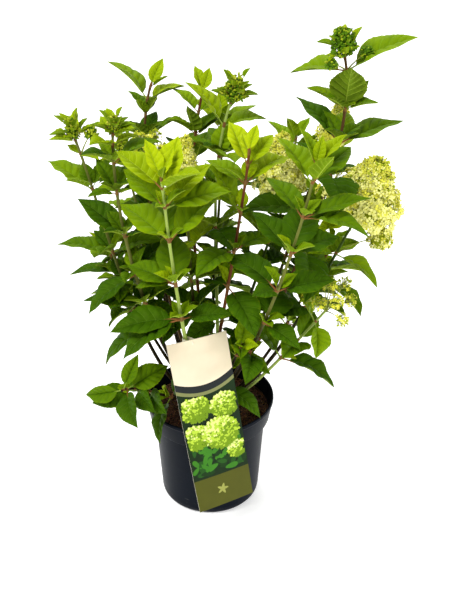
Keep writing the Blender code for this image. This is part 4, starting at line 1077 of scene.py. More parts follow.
def leaf_meshes(leaves, kinds, rng):
    """Points, faces and material numbers of all blades at once. A line that leaves the midrib at s meets the
    margin at s + 0.8 s (1 - s). At a place a along the blade half the width is 3.56 a^0.72 (1 - a)^1.2 of the
    leaf's half width, with small teeth. Both halves rise by the fold and bulge between their side veins, and
    the under side lies a little below and shares the margin."""
    n = len(leaves)
    keys = ("root", "ahead", "side", "up", "length", "width", "droop", "fold", "petiole")
    values = (v[:, None, None] for v in gathered(leaves, keys))
    root, ahead, side, up, length, width, droop, fold, petiole = values
    droop = np.maximum(droop, 1e-3)
    lines, lift, tooth, vein = leaf_lines()
    across = np.array([-1, -0.72, -0.36, -0.03, 0, 0.03, 0.36, 0.72, 1.0])
    rows = len(lines)
    columns = len(across)
    s = lines[:, None]
    t = across[None]
    edge = np.abs(t)
    margin = edge > 0.99
    tooth = tooth[:, None] * margin * np.minimum(1, 10 * s * (1 - s))
    along = np.clip(s + 0.80 * s * (1 - s) * edge ** 1.15 + 0.004 * tooth, 0, 1)
    half = np.maximum(3.56 * along ** 0.72 * (1 - along) ** 1.2, 0.012)
    blade = length - petiole
    out = width / 2 * half * (1 + TEETH * tooth) * t
    rib = (edge < 0.05) & (edge > 0)
    out = np.where(rib, np.sign(t) * np.minimum(0.00045 * (1.15 - 0.8 * along), np.abs(out) * 4), out)
    rise = np.abs(out) * np.tan(fold) * (1.12 - 0.25 * edge ** 2)
    rise = rise + 0.100 * width * lift[:, None] * np.sin(np.pi * edge) * half
    wave = np.where(t < 0, rng.uniform(0, 6.28, (n, 1, 1)), rng.uniform(0, 6.28, (n, 1, 1)))
    waves = rng.uniform(1.4, 2.8, (n, 1, 1))
    ruffle = rng.uniform(0.010, 0.036, (n, 1, 1))
    ripple = ruffle * blade * np.sin(2 * np.pi * waves * along + wave) * edge ** 2
    rise = rise + ripple * 4 * along * (1 - along)
    rise = rise - 0.0004 * (edge < 0.01)
    sideways = out + rng.uniform(-0.05, 0.05, (n, 1, 1)) * blade * along ** 2
    angle = (droop * along)[..., None]
    bow = (blade / droop)[..., None]
    middle = root + ahead * petiole[..., None] + bow * (np.sin(angle) * ahead - (1 - np.cos(angle)) * up)
    over = np.cross(np.cos(angle) * ahead - np.sin(angle) * up, np.broadcast_to(side, middle.shape))
    top = middle + side * sideways[..., None] + over * rise[..., None]
    thick = 0.0007 * np.minimum(1, 8 * s * (1 - s) + 0.25) + 0.0006 * (edge < 0.01) * (1.2 - along)
    below = top - over * thick[..., None]
    inner = below[:, 1:-1, 1:-1]
    points = np.concatenate([top.reshape(n, -1, 3), inner.reshape(n, -1, 3)], axis=1)
    number = np.arange(rows * columns).reshape(rows, columns)
    number[1:-1, 1:-1] = rows * columns + np.arange((rows - 2) * (columns - 2)).reshape(rows - 2, columns - 2)
    sheet = grid_faces(rows, columns)
    low = number.ravel()[sheet]
    faces = np.concatenate([sheet[:, [0, 3, 2, 1]], low])
    strip = np.repeat(np.arange(rows - 1), columns - 1)
    lane = np.tile(np.arange(columns - 1), rows - 1)
    veined = (vein[strip] & (lane > 0) & (lane < columns - 2)) | (lane == 3) | (lane == 4)
    slots = np.array([LEAF_KINDS[kind] for kind in kinds])
    upper = np.where(veined, slots[:, 1:2], slots[:, 0:1])
    lower = np.where(veined, slots[:, 3:4], slots[:, 2:3])
    slots = np.concatenate([upper, lower], axis=1).ravel()
    return points.reshape(-1, 3), each(faces, n, points.shape[1]), slots


def stalks(leaves):
    """The leaf stalks at once: a tube from inside the stem along the stalk, then under the first sixth of the
    blade, thickest where it leaves the stem."""
    keys = ("root", "ahead", "up", "length", "droop", "petiole")
    root, ahead, up, length, droop, petiole = (v[:, None] for v in gathered(leaves, keys))
    blade = length - petiole
    share = np.array([0.0, 0.0, 0.0, 0.02, 0.08, 0.17])
    reach = np.array([0.0, 0.4, 0.8, 1.0, 1.0, 1.0])
    angle = (np.maximum(droop, 1e-3) * share)[..., None]
    bow = (blade / np.maximum(droop, 1e-3))[..., None]
    paths = root + ahead * (petiole * reach)[..., None]
    paths = paths + bow * (np.sin(angle) * ahead - (1 - np.cos(angle)) * up)
    paths = paths - up * (0.0007 * (share > 0.05))[:, None]
    thick = np.clip(length / 0.075, 0.55, 1.15) * np.array([1.6, 1.05, 0.95, 0.95, 0.75, 0.25]) * 0.00095
    return tubes(paths, thick, 6)


# Stems with swollen joints and relief
def bark_tube(stem, sides=12):
    """A stem's skin at once: rings every four millimetres along its curve, half as thick again at the foot,
    a third thicker at each leaf joint, with shallow ridges that wander round it."""
    runs = np.linspace(0.0, stem.length, int(stem.length / 0.004) + 2)
    centre = between(runs, stem.run, stem.line)
    share = np.clip(runs / stem.length, 0, 1)
    radius = stem.foot_radius + (stem.tip_radius - stem.foot_radius) * share ** 0.75
    swell = np.exp(-((runs[:, None] - np.array(stem.joints)[None]) / 0.0030) ** 2).sum(axis=1)
    radius = radius * (1 + 0.33 * swell + 0.45 * np.exp(-runs / 0.006))
    ahead = units(np.gradient(centre, axis=0))
    side = units(np.cross(ahead, np.array([0.0, 1.0, 0.0])))
    other = np.cross(ahead, side)
    a = round_angles(sides)[None]
    ridge = 1 + 0.035 * np.sin(5 * a + 60 * runs[:, None]) + 0.025 * np.sin(3 * a - 170 * runs[:, None] + 1.3)
    reach = (radius[:, None] * ridge)[..., None]
    rings = centre[:, None] + reach * spokes(a, side[:, None], other[:, None])
    first = np.repeat(centre[:1, None], sides, axis=1)
    last = np.repeat(centre[-1:, None] + ahead[-1:, None] * 0.001, sides, axis=1)
    rings = np.concatenate([first, rings, last])
    knot = np.concatenate([[0], swell, [0]])[:-1] > 0.30
    return rings.reshape(-1, 3), grid_faces(len(rings), sides, True), np.repeat(knot, sides)


def bark_finish(name, old, young, knee):
    """Bark whose old colour low on the stem gives way, unevenly, to a younger one above a height, with a few
    pale specks."""
    made = finish(name, old, young, 0.55, scale=140.0, grain=1400.0, strength=0.45, stretch=(1, 1, 0.25))
    tree = made.node_tree
    place = add_node(tree, "TexCoord").outputs["Object"]
    split = add_node(tree, "SeparateXYZ", {0: place})
    noise = add_node(tree, "TexNoise", {"Vector": place}, {"Scale": 90.0})
    wander = {0: noise.outputs["Fac"], 2: split.outputs["Z"]}
    height = add_node(tree, "Math", wander, {1: 0.10}, "MULTIPLY_ADD").outputs[0]
    ramp = add_node(tree, "MapRange", {"Value": height}, {"From Min": knee, "From Max": knee + 0.10})
    aged = add_node(tree, "Mix", {0: ramp.outputs["Result"]}, {6: colour(old), 7: colour(young)})
    speck = add_node(tree, "TexVoronoi", {"Vector": place}, {"Scale": 420.0})
    pale = add_node(tree, "MapRange", {"Value": speck.outputs["Distance"]},
                    {"From Min": 0.10, "From Max": 0.22, "To Min": 0.15, "To Max": 0.0})
    spots = add_node(tree, "Mix", {0: pale.outputs["Result"], 6: aged.outputs[2]}, {7: colour("b9a889")})
    tree.links.new(spots.outputs[2], shader_of(made).inputs["Base Color"])
    return made


# Florets, beads and their fine twigs
def floret_shape():
    """A floret of four cupped sepals round a bead: each sepal a rounded kite with a raised middle, above and
    below, so that it is closed."""
    x = np.array([0.10, 0.40, 0.78, 1.0, 0.78, 0.40])
    y = np.array([0.0, 0.33, 0.36, 0.0, -0.36, -0.33])
    z = 0.20 * x ** 2 - 0.05
    rim = np.stack([x, y, z], axis=1)
    sepal = np.concatenate([rim, [[0.58, 0, 0.02]], [[0.58, 0, -0.04]]])
    k = np.arange(6)
    after = (k + 1) % 6
    upper = np.stack([np.full(6, 6), after, k], axis=1)[:, ::-1]
    lower = np.stack([np.full(6, 7), k, after], axis=1)[:, ::-1]
    one = np.concatenate([upper, lower])
    turns = np.arange(4) * np.pi / 2
    cos, sin = np.cos(turns)[:, None], np.sin(turns)[:, None]
    points = np.stack([cos * sepal[:, 0] - sin * sepal[:, 1], sin * sepal[:, 0] + cos * sepal[:, 1],
                       np.broadcast_to(sepal[:, 2], (4, 8)) + 0.03 * (np.arange(4) % 2)[:, None]], axis=-1)
    return points.reshape(-1, 3), each(one, 4, 8)


def bead_shape():
    """A bead: the twelve corners of an icosahedron at radius one."""
    g = (1 + 5 ** 0.5) / 2
    corners = np.array([(-1, g, 0), (1, g, 0), (-1, -g, 0), (1, -g, 0), (0, -1, g), (0, 1, g),
                        (0, -1, -g), (0, 1, -g), (g, 0, -1), (g, 0, 1), (-g, 0, -1), (-g, 0, 1)])
    corners = corners / math.hypot(1, g)
    faces = np.array([(0, 11, 5), (0, 5, 1), (0, 1, 7), (0, 7, 10), (0, 10, 11), (1, 5, 9), (5, 11, 4),
                      (11, 10, 2), (10, 7, 6), (7, 1, 8), (3, 9, 4), (3, 4, 2), (3, 2, 6), (3, 6, 8),
                      (3, 8, 9), (4, 9, 5), (2, 4, 11), (6, 2, 10), (8, 6, 7), (9, 8, 1)])
    return corners, faces


def dealt(shape, places, facing, sizes, spin, squeeze=1.0):
    """Copies of a small shape at once: each turned to face its own way, spun, sized and moved."""
    points, faces = shape
    facing = units(facing)
    side, other = normal_to(facing)
    c, s = np.cos(spin)[:, None], np.sin(spin)[:, None]
    first, second = c * side + s * other, c * other - s * side
    local = points[None] * np.array([1.0, 1.0, squeeze]) * sizes[:, None, None]
    made = (places[:, None] + local[..., 0:1] * first[:, None] + local[..., 1:2] * second[:, None]
            + local[..., 2:3] * facing[:, None])
    return made.reshape(-1, 3), each(faces, len(places), len(points))


def around(count, rng):
    """Angles that go round by the golden angle, a little uneven."""
    return np.arange(count) * GOLDEN_ANGLE + rng.uniform(-0.25, 0.25, count)


class Blossom:
    """Everything in the heads, gathered as arrays: florets, beads and fine twigs."""

    def __init__(self, rng):
        self.rng = rng
        self.kept = {"floret": [], "bead": []}
        self.twigs = []
        self.cores = []

    def cluster(self, centres, out, spread, florets, beads, size, tone, bead_size=0.0010):
        """Florets and beads round each centre: each sits on a shallow dome that faces out."""
        rng = self.rng
        n = len(centres)
        side, other = normal_to(out)
        for kind, many in (("floret", florets), ("bead", beads)):
            if not many:
                continue
            a = rng.uniform(0, 2 * np.pi, (n, many))
            reach = spread * np.sqrt(rng.uniform(0, 1, (n, many)))
            if kind == "floret":
                a = np.arange(many)[None] * 2 * np.pi / many + rng.uniform(-0.5, 0.5, (n, many))
                reach = spread * rng.uniform(0.45, 1.0, (n, many))
            flat = spokes(a, side[:, None], other[:, None]) * reach[..., None]
            high = rng.uniform(-0.25, 0.35, (n, many)) * spread - (reach / spread) ** 2 * 0.30 * spread
            places = centres[:, None] + flat + out[:, None] * high[..., None]
            facing = out[:, None] + flat / spread * 0.65 + rng.normal(0, 0.22, (n, many, 3))
            tones = np.clip(tone[:, None] + rng.uniform(-0.28, 0.28, (n, many)), 0, 0.999)
            if kind == "floret":
                sizes = size * rng.uniform(0.72, 1.12, (n, many))
            else:
                places = places + out[:, None] * 0.0008
                sizes = bead_size * rng.uniform(0.7, 1.25, (n, many))
            self.kept[kind].append((places.reshape(-1, 3), facing.reshape(-1, 3), sizes.ravel(),
                                    tones.ravel()))

    def twig(self, start, end, thick):
        """Slightly bowed fine twigs from start to end."""
        share = np.linspace(0, 1, 5)[None, :, None]
        bow = np.zeros((len(start), 1, 3)) + np.array([0, 0, 1.0])
        lift = np.linalg.norm(end - start, axis=1)[:, None, None] * 0.08
        path = start[:, None] * (1 - share) + end[:, None] * share + bow * lift * 4 * share * (1 - share)
        radii = thick * np.array([1.3, 1.0, 0.85, 0.75, 0.6])[None] * np.ones((len(start), 1))
        self.twigs.append(tubes(path, radii, 4))

    def head(self, start, along, length, radius, tone, profile, fill, bands, bead_size=0.0014, rough=0.10):
        """A head of clusters on its own twigs, dealt out by the golden angle over an inner body. The radius
        at a share of the length is the profile there, with clumps that stand out by the share rough. Each
        band, up to its share, has its florets and beads for a cluster, and their size."""
        rng = self.rng
        side, other = (v[0] for v in normal_to(along[None]))
        stations = np.linspace(0.03, 0.90, 9)
        path = start + along * (length * stations)[:, None]
        bare = bands[0][1] == 0
        core = tubes(path[None], (radius * (0.60 if bare else 0.74) * profile(stations))[None], 18)
        self.cores.append((*core, BUD_INSIDE if bare else HEAD_INSIDE))
        # The inner layer's lower tone is painted shade: florets deeper in the head are darker.
        for reach, many, shade in ((1.0, 1.0, 0.0), (0.83, 0.6, -0.14)):
            count = max(10, int(many * fill * radius * length))
            share = 0.01 + 0.97 * ((np.arange(count) + 0.5) / count) ** 1.10
            a = around(count, rng)
            clump = 1 + rough * (np.sin(3 * a + 23 * share) + 0.6 * np.sin(5 * a - 37 * share))
            r = radius * profile(share) * reach * clump * rng.uniform(0.88, 1.10, count)
            r = np.maximum(r - 0.0012, 0.001)
            flat = spokes(a, side, other)
            out = units(flat + along * (0.95 * share - 0.05)[:, None])
            centres = start + along * (length * 0.97 * share)[:, None] + flat * r[:, None]
            # Clusters that face up get a lighter tone, which is painted light; the rest of the spread is
            # random.
            tones = np.clip(tone + shade + 0.22 * (out[:, 2] - 0.3) + rng.uniform(-0.2, 0.2, count), 0, 1)
            below = 0.0
            for above, florets, beads, size in bands:
                some = (share >= below) & (share < above)
                if some.any():
                    self.cluster(centres[some], out[some], CLUSTER_REACH, florets, beads, size, tones[some],
                                 bead_size)
                below = above
            if reach == 1.0:
                roots = start + along * (length * np.clip(share - 0.2, -0.05, 1))[:, None]
                self.twig(roots, centres - out * 0.001, 0.0005)
        self.twig((start - along * 0.004)[None], (start + along * length * 0.9)[None], 0.0012)

    def ball(self, root, centre, reach, florets, beads, size, tone, bead_size=0.0014):
        """A small round head on its own twig."""
        count = int(8 + 60000 * reach * reach)
        z = 1 - 1.8 * (np.arange(count) + 0.5) / count
        a = around(count, self.rng)
        flat = np.sqrt(1 - z * z)
        out = np.stack([flat * np.cos(a), flat * np.sin(a), z], axis=1)
        tones = self.rng.uniform(tone - 0.2, tone + 0.2, count)
        self.cluster(centre + out * reach * 0.92, out, min(0.005, reach * 0.5), florets, beads, size, tones,
                     bead_size)
        up = np.array([[0, 0, -0.75], [0, 0, -0.4], [0, 0, 0.0], [0, 0, 0.4], [0, 0, 0.75]]) * reach
        core = tubes((centre + up)[None], reach * np.array([[0.45, 0.72, 0.80, 0.72, 0.45]]), 12)
        self.cores.append((*core, HEAD_INSIDE if florets else BUD_INSIDE))
        self.twig(root[None], centre[None], 0.0010)

    def spray(self, root, centre, reach, tone):
        """An open flower spray: about thirty buds and florets, each on its own fine twig, that spread from a
        fork below the centre to a dome round it."""
        rng = self.rng
        count = SPRAY_FLOWERS
        ahead = unit(centre - root)
        fork = centre - ahead * reach * 0.8
        side, other = (v[0] for v in normal_to(ahead[None]))
        a = around(count, rng)
        wide = np.sqrt((np.arange(count) + 0.5) / count)
        high = (0.9 - 1.1 * wide ** 2 + rng.uniform(-0.25, 0.25, count))[:, None]
        ends = centre + reach * (spokes(a, side, other) * wide[:, None] + ahead * high)
        facing = ends - fork
        tones = np.clip(rng.uniform(tone - 0.25, tone + 0.25, count), 0, 0.999)
        open_now = rng.random(count) < 0.42
        for kind, chosen, low, high in (("floret", open_now, 0.0022, 0.0032),
                                        ("bead", ~open_now, 0.0009, 0.0015)):
            sizes = rng.uniform(low, high, chosen.sum())
            self.kept[kind].append((ends[chosen], facing[chosen], sizes, tones[chosen]))
        forks = fork + (ends - fork) * 0.35 + ahead * reach * 0.1
        self.twig(forks, ends, 0.00038)
        self.twig(np.repeat(fork[None], len(forks[::5]), axis=0), forks[::5], 0.0006)
        self.twig(np.repeat(fork[None], count, axis=0), forks, 0.00042)
        self.twig(root[None], fork[None], 0.0009)


# The pot, the soil and the stump
def revolve(profile, segments, lift=0.0):
    """A turned solid: each (radius, height) of the profile goes round the axis; its first and last points lie
    on it. lift adds a height to every (row, place)."""
    radius, height = np.array(profile[1:-1], float).T
    a = round_angles(segments)
    rings = np.stack([radius[:, None] * np.cos(a), radius[:, None] * np.sin(a),
                      height[:, None] + lift + 0 * a[None]], axis=-1)
    points = np.concatenate([[(0, 0, profile[0][1])], rings.reshape(-1, 3), [(0, 0, profile[-1][1])]])
    i = np.arange(segments)
    j = (i + 1) % segments
    last = 1 + (len(radius) - 1) * segments
    caps = np.concatenate([np.stack([0 * i, 1 + j, 1 + i], axis=1),
                           np.stack([last + i, last + j, 0 * i + len(points) - 1], axis=1)])
    return points, grid_faces(len(radius), segments, True) + 1, caps


def turned_parts(points, body, caps):
    """A turned solid as the parts of a piece."""
    return [(points, body, 0), (np.zeros((0, 3)), caps, 0)]


def rounded(profile, reach):
    """The profile with every corner between its ends cut by a short curve, at most reach from the corner."""
    p = np.array(profile, float)
    before = p[:-2] - p[1:-1]
    after = p[2:] - p[1:-1]
    lengths = [np.linalg.norm(v, axis=1, keepdims=True) for v in (before, after)]
    into, away = (np.minimum(reach, 0.42 * d) * v / d for v, d in zip((before, after), lengths))
    share = np.array([0.0, 0.25, 0.5, 0.75, 1.0])[None, :, None]
    curve = p[1:-1, None] + (1 - share) ** 2 * into[:, None] + share ** 2 * away[:, None]
    return np.concatenate([p[:1], curve.reshape(-1, 2), p[-1:]])


def pot_piece():
    """The pot, finely turned, its corners rounded and the notches cut from its foot."""
    shell = turned_parts(*revolve(rounded(pot_profile(), 0.0011), POT_STEPS))
    obj = mesh_piece("pot_shell", shell, [pot_finish()])
    wedges = bpy.data.collections.new("notches")
    bpy.context.scene.collection.children.link(wedges)
    for k in range(NOTCH_COUNT):
        a = math.radians(360 / NOTCH_COUNT * k + 5)
        across = np.linspace(-1, 1, 9)
        arch = NOTCH_HEIGHT * np.sqrt(np.clip(1.04 - across ** 4, 0, 1))
        flat = np.concatenate([np.stack([across, arch], 1), [[1.0, -0.002], [-1.0, -0.002]]])
        flat[:, 0] *= NOTCH_WIDTH / 2
        radial = np.array([BODY_FOOT_RADIUS - NOTCH_DEPTH, BODY_FOOT_RADIUS + 0.01])
        r = np.repeat(radial, len(flat))
        w, z = np.tile(flat, (2, 1)).T
        corners = np.stack([r * math.cos(a) - w * math.sin(a), r * math.sin(a) + w * math.cos(a), z], axis=1)
        m = len(flat)
        i = np.arange(m)
        mesh = bpy.data.meshes.new("notch")
        sides = [tuple(q) for q in np.stack([i, (i + 1) % m, (i + 1) % m + m, i + m], axis=1).tolist()]
        mesh.from_pydata(corners.tolist(), [], sides + [tuple(range(m - 1, -1, -1)), tuple(range(m, 2 * m))])
        facing_out(mesh)
        wedges.objects.link(bpy.data.objects.new("notch", mesh))
    facing_out(obj.data)
    cut = obj.modifiers.new("notches", "BOOLEAN")
    cut.operation = "DIFFERENCE"
    cut.operand_type = "COLLECTION"
    cut.collection = wedges
    cut.solver = "EXACT"
    bpy.context.view_layer.update()
    made = bpy.data.meshes.new_from_object(obj.evaluated_get(bpy.context.evaluated_depsgraph_get()))
    obj.modifiers.clear()
    obj.data = made
    for wedge in list(wedges.objects):
        bpy.data.objects.remove(wedge, do_unlink=True)
    bpy.data.collections.remove(wedges)
    made.shade_smooth()
    made.set_sharp_from_angle(angle=math.radians(32))
    return obj


def facing_out(mesh):
    """Turns the faces of a closed mesh outwards, its doubles merged first."""
    shape = bmesh.new()
    shape.from_mesh(mesh)
    bmesh.ops.remove_doubles(shape, verts=shape.verts, dist=1e-7)
    bmesh.ops.recalc_face_normals(shape, faces=shape.faces)
    shape.to_mesh(mesh)
    shape.free()


def trimmed(obj, degrees):
    """The piece with its faces outwards, smooth but for edges sharper than this."""
    facing_out(obj.data)
    obj.data.shade_smooth()
    obj.data.set_sharp_from_angle(angle=math.radians(degrees))
    return obj


def pot_finish():
    """Dark moulded plastic with a satin face, a fine grain and pale scuffs low down."""
    made = finish("pot_plastic", "0b0f16", "131922", 0.34, 22.0, 1.2, 1100.0, 0.10)
    tree = made.node_tree
    shader = shader_of(made)
    ground = shader.inputs["Base Color"].links[0].from_socket
    place = add_node(tree, "TexCoord").outputs["Object"]
    stretch = add_node(tree, "VectorMath", {0: place}, {1: (55, 55, 420)}, "MULTIPLY")
    scratch = add_node(tree, "TexNoise", {"Vector": stretch.outputs[0]}, {"Scale": 1.0, "Detail": 4.0})
    fine = add_node(tree, "MapRange", {"Value": scratch.outputs["Fac"]}, {"From Min": 0.66, "From Max": 0.74})
    split = add_node(tree, "SeparateXYZ", {0: place})
    low = add_node(tree, "MapRange", {"Value": split.outputs["Z"]},
                   {"From Min": 0.060, "From Max": 0.010, "To Min": 0.04, "To Max": 0.30})
    both = add_node(tree, "Math", {0: fine.outputs["Result"], 1: low.outputs["Result"]}, (), "MULTIPLY")
    mix = add_node(tree, "Mix", {0: both.outputs[0], 6: ground}, {7: colour("8f8d86")})
    tree.links.new(mix.outputs[2], shader.inputs["Base Color"])
    set_inputs(shader, {"Specular IOR Level": POT_SHINE})
    return made


def soil_piece(rng):
    """The plug of soil: its top is a disc of rings whose heights wander by up to two millimetres."""
    profile = soil_profile()
    edge = np.array(profile[1:6])
    rings = np.linspace(edge[-1][0] - 0.002, 0.002, 34)
    full = [profile[0], *profile[1:6], *[(r, SOIL_TOP - 0.0006) for r in rings], (0, SOIL_TOP)]
    rows = len(full) - 2
    a = round_angles(SOIL_STEPS)[None]
    r = np.array([p[0] for p in full[1:-1]])[:, None]
    x, y = r * np.cos(a), r * np.sin(a)
    waves = rng.uniform(60, 420, (9, 2)) * np.where(rng.random((9, 2)) < 0.5, -1, 1)
    phase = rng.uniform(0, 6.28, 9)
    lift = sum(np.sin(x * w[0] + y * w[1] + f) / (1 + 0.012 * np.abs(w).sum()) for w, f in zip(waves, phase))
    lift = 0.0016 * lift + rng.normal(0, 0.00035, (rows, SOIL_STEPS))
    lift = np.minimum(lift, 0.0022) * (np.arange(rows)[:, None] > 4)
    peat = finish("peat", "2a140a", "62331d", 0.88, scale=320.0, contrast=2.6, grain=1500.0, strength=1.0)
    return mesh_piece("soil_bed", turned_parts(*revolve(full, SOIL_STEPS, lift)), [peat])


def scattered(reach, count, rng):
    """Random places spread evenly over a disc, as x and y."""
    r = reach * np.sqrt(rng.uniform(0, 1, count))
    a = rng.uniform(0, 2 * np.pi, count)
    return r * np.cos(a), r * np.sin(a)


def fibres(rng, count=FIBRES):
    """Peat and coir fibres as fine curved tubes that lie on the soil, and crumbs between them."""
    x, y = scattered(0.084, count, rng)
    heading = rng.uniform(0, 2 * np.pi, count)
    length = rng.uniform(0.006, 0.022, count)
    share = np.linspace(-0.5, 0.5, 6)[None]
    turn = heading[:, None] + rng.uniform(-1.4, 1.4, count)[:, None] * share
    x = x[:, None] + length[:, None] * share * np.cos(turn)
    y = y[:, None] + length[:, None] * share * np.sin(turn)
    far = np.hypot(x, y)
    pull = np.minimum(1, 0.0862 / np.maximum(far, 1e-6))
    hump = rng.uniform(0.0002, 0.0026, count)[:, None] * (1 - (2 * share) ** 2)
    z = SOIL_TOP - 0.0002 + rng.uniform(-0.0004, 0.0012, count)[:, None] + hump
    paths = np.stack([x * pull, y * pull, z + 0 * share], axis=-1)
    radii = rng.uniform(0.00010, 0.00030, count)[:, None] * np.array([0.5, 0.9, 1.0, 1.0, 0.9, 0.4])
    points, faces = tubes(paths, radii, 4)
    tone = np.repeat(rng.integers(0, 3, count), len(faces) // count)
    x, y = scattered(0.085, CRUMBS, rng)
    places = np.stack([x, y, SOIL_TOP + rng.uniform(-0.0008, 0.0016, CRUMBS)], axis=1)
    crumbs = dealt(bead_shape(), places, rng.normal(0, 1, (CRUMBS, 3)), rng.uniform(0.0006, 0.0022, CRUMBS),
                   rng.uniform(0, 6.28, CRUMBS), 0.7)
    finishes = [finish("fibre_red", "642e16", "8e4c28", 0.8), finish("fibre_brown", "3a1d10", "643820", 0.8),
                finish("fibre_tan", "7a5330", "a9794a", 0.8), finish("crumb", "180d07", "3a2214", 0.9)]
    return mesh_piece("soil_fibres", [(points, faces, tone), (*crumbs, 3)], finishes)


def stump_shape():
    """The stump's skin from its profile, with the bark's ridges: the radius rises and falls round it."""
    points, body, caps = revolve(rounded(stump_profile(), 0.002), 48)
    a = np.arctan2(points[:, 1], points[:, 0])
    ridge = 1 - 0.035 * (0.5 + 0.5 * np.sin(9 * a + 260 * points[:, 2])) - 0.02 * np.abs(np.sin(17 * a))
    points[:, :2] *= ridge[:, None]
    return turned_parts(points, body, caps)


# The label
def label_sheet(across, down, off):
    """Points on the label, moved off its middle sheet towards the front."""
    point, normal = label_place(across, down)
    return point + normal * np.asarray(off)[..., None]


def label_card():
    """The card, a fine closed grid."""
    card = finish("card", "cfc9b0", "ddd8c2", 0.42, scale=30.0, contrast=0.8, grain=700.0, strength=0.05)
    return trimmed(mesh_piece("label_card", [(*label_grid(73, 25), 0)], [card]), 40)


def zone(upper, lower, rows, off, columns=33):
    """A printed zone: a grid between an upper and a lower edge, each a function of the place across."""
    across = np.linspace(-0.5, 0.5, columns)
    share = np.linspace(0, 1, rows)[:, None]
    down = upper(across)[None] * (1 - share) + lower(across)[None] * share
    points = label_sheet(np.broadcast_to(across, down.shape), down, off)
    return points.reshape(-1, 3), grid_faces(rows, columns)[:, ::-1]


def flat_shapes(outline, x, y, size, turn, off, high):
    """Flat printed shapes: each outline point goes round its middle, which stands a little higher; x and y
    are millimetres across and down the label."""
    n, m = len(x), len(outline)
    c, s = np.cos(turn)[:, None], np.sin(turn)[:, None]
    px = x[:, None] + size[:, None] * (c * outline[:, 0] - s * outline[:, 1])
    py = y[:, None] + size[:, None] * (s * outline[:, 0] + c * outline[:, 1])
    px = np.concatenate([px, x[:, None] + size[:, None] * c * outline[:, 0].mean() * 0.9], axis=1)
    py = np.concatenate([py, y[:, None] + size[:, None] * s * outline[:, 0].mean() * 0.9], axis=1)
    lift = off[:, None] + np.concatenate([np.zeros(m), [high]])[None]
    points = label_sheet(np.clip(px / (LABEL_WIDTH * 1000), -0.499, 0.499), py / LABEL_LENGTH / 1000, lift)
    k = np.arange(m)
    fan = np.stack([k, (k + 1) % m, np.full(m, m)], axis=1)
    return points.reshape(-1, 3), each(fan, n, m + 1)


def label_print(rng):
    """The print: a cream head, a dark curved band over an olive one, a picture of round blossom balls and
    lance leaves on dark green, and an olive foot. Every motif is a flat shape on the card."""
    front = LABEL_THICKNESS / 2
    bulge = lambda x: 1 - (2 * x) ** 2
    band = lambda base, sag: (lambda x: base + sag * bulge(x) - 0.012 * x)
    level = lambda base: (lambda x: base + 0 * x)
    parts = []
    edges = (level(0.0), band(0.220, 0.045), band(0.260, 0.045), band(0.282, 0.042), level(0.812), level(1.0))
    for kind, rows in enumerate((24, 4, 3, 30, 12)):
        parts.append((*zone(edges[kind], edges[kind + 1], rows, front + 0.00008), kind))
    a = round_angles(12)
    lance = np.stack([0.5 + 0.5 * np.cos(a), 0.21 * np.sin(a) * (1.05 - 0.35 * np.cos(a))], axis=1)
    ranges = ((-41, 41), (94, 212), (0, 2 * np.pi), (12, 22))
    x, y, turn, size = (rng.uniform(low, high, PRINT_LEAVES) for low, high in ranges)
    ends = x + size * np.cos(turn), y + size * np.sin(turn)
    keep = (y > 140) & (ends[1] < 216) & (ends[1] > 96) & (abs(ends[0]) < 41)
    for kind in (5, 6, 7):
        chosen = keep & (np.arange(PRINT_LEAVES) % 3 == kind - 5)
        off = front + 0.00012 + 0.0000012 * np.flatnonzero(chosen)
        shapes = flat_shapes(lance, x[chosen], y[chosen], size[chosen], turn[chosen], off, 0.00003)
        parts.append((*shapes, kind))
    b = round_angles(20)
    rose = np.stack([np.cos(b), np.sin(b)], axis=1) * (0.78 + 0.22 * np.cos(5 * b))[:, None]
    for cx, cy, ball, depth in PRINT_BALLS:
        m = int(ball * ball * 0.50)
        k = np.arange(m)
        r = ball * np.sqrt((k + 0.5) / m)
        w = k * GOLDEN_ANGLE
        x = cx + r * np.cos(w) + rng.uniform(-1, 1, m)
        y = cy + 0.94 * r * np.sin(w) + rng.uniform(-1, 1, m)
        inside = (np.abs(x) < 39.5) & (y < 213) & (y > 88)
        light = 0.42 - 0.50 * (np.sin(w) * 0.8 + np.cos(w) * 0.4) * r / ball
        light += rng.uniform(-0.38, 0.38, m) - 0.10 * depth
        for kind, low, high in ((8, -9, 0.32), (9, 0.32, 0.66), (10, 0.66, 9)):
            chosen = inside & (light > low) & (light <= high)
            if chosen.any():
                off = front + 0.00022 + 0.000003 * k[chosen] + 0.0004 * (2 - depth)
                size = np.full(chosen.sum(), 2.5)
                parts.append((*flat_shapes(rose, x[chosen], y[chosen], size, w[chosen], off, 0.0002), kind))
    c = np.array([0.0, 1.2, 2.4, 3.6, 4.8]) * 2 * np.pi / 6
    mark = flat_shapes(lance, 0 * c - 2, 0 * c + 244, 0 * c + 9, c, front + 0.00012 + 0 * c, 0.00005)
    parts.append((*mark, 11))
    tones = [finish(*row, 0.34, scale=26.0, contrast=1.3, grain=600.0, strength=0.03) for row in PRINT_TONES]
    for made in tones:
        set_inputs(shader_of(made), {"Specular IOR Level": PRINT_SHINE})
    return mesh_piece("label_print", parts, tones, smooth=False)


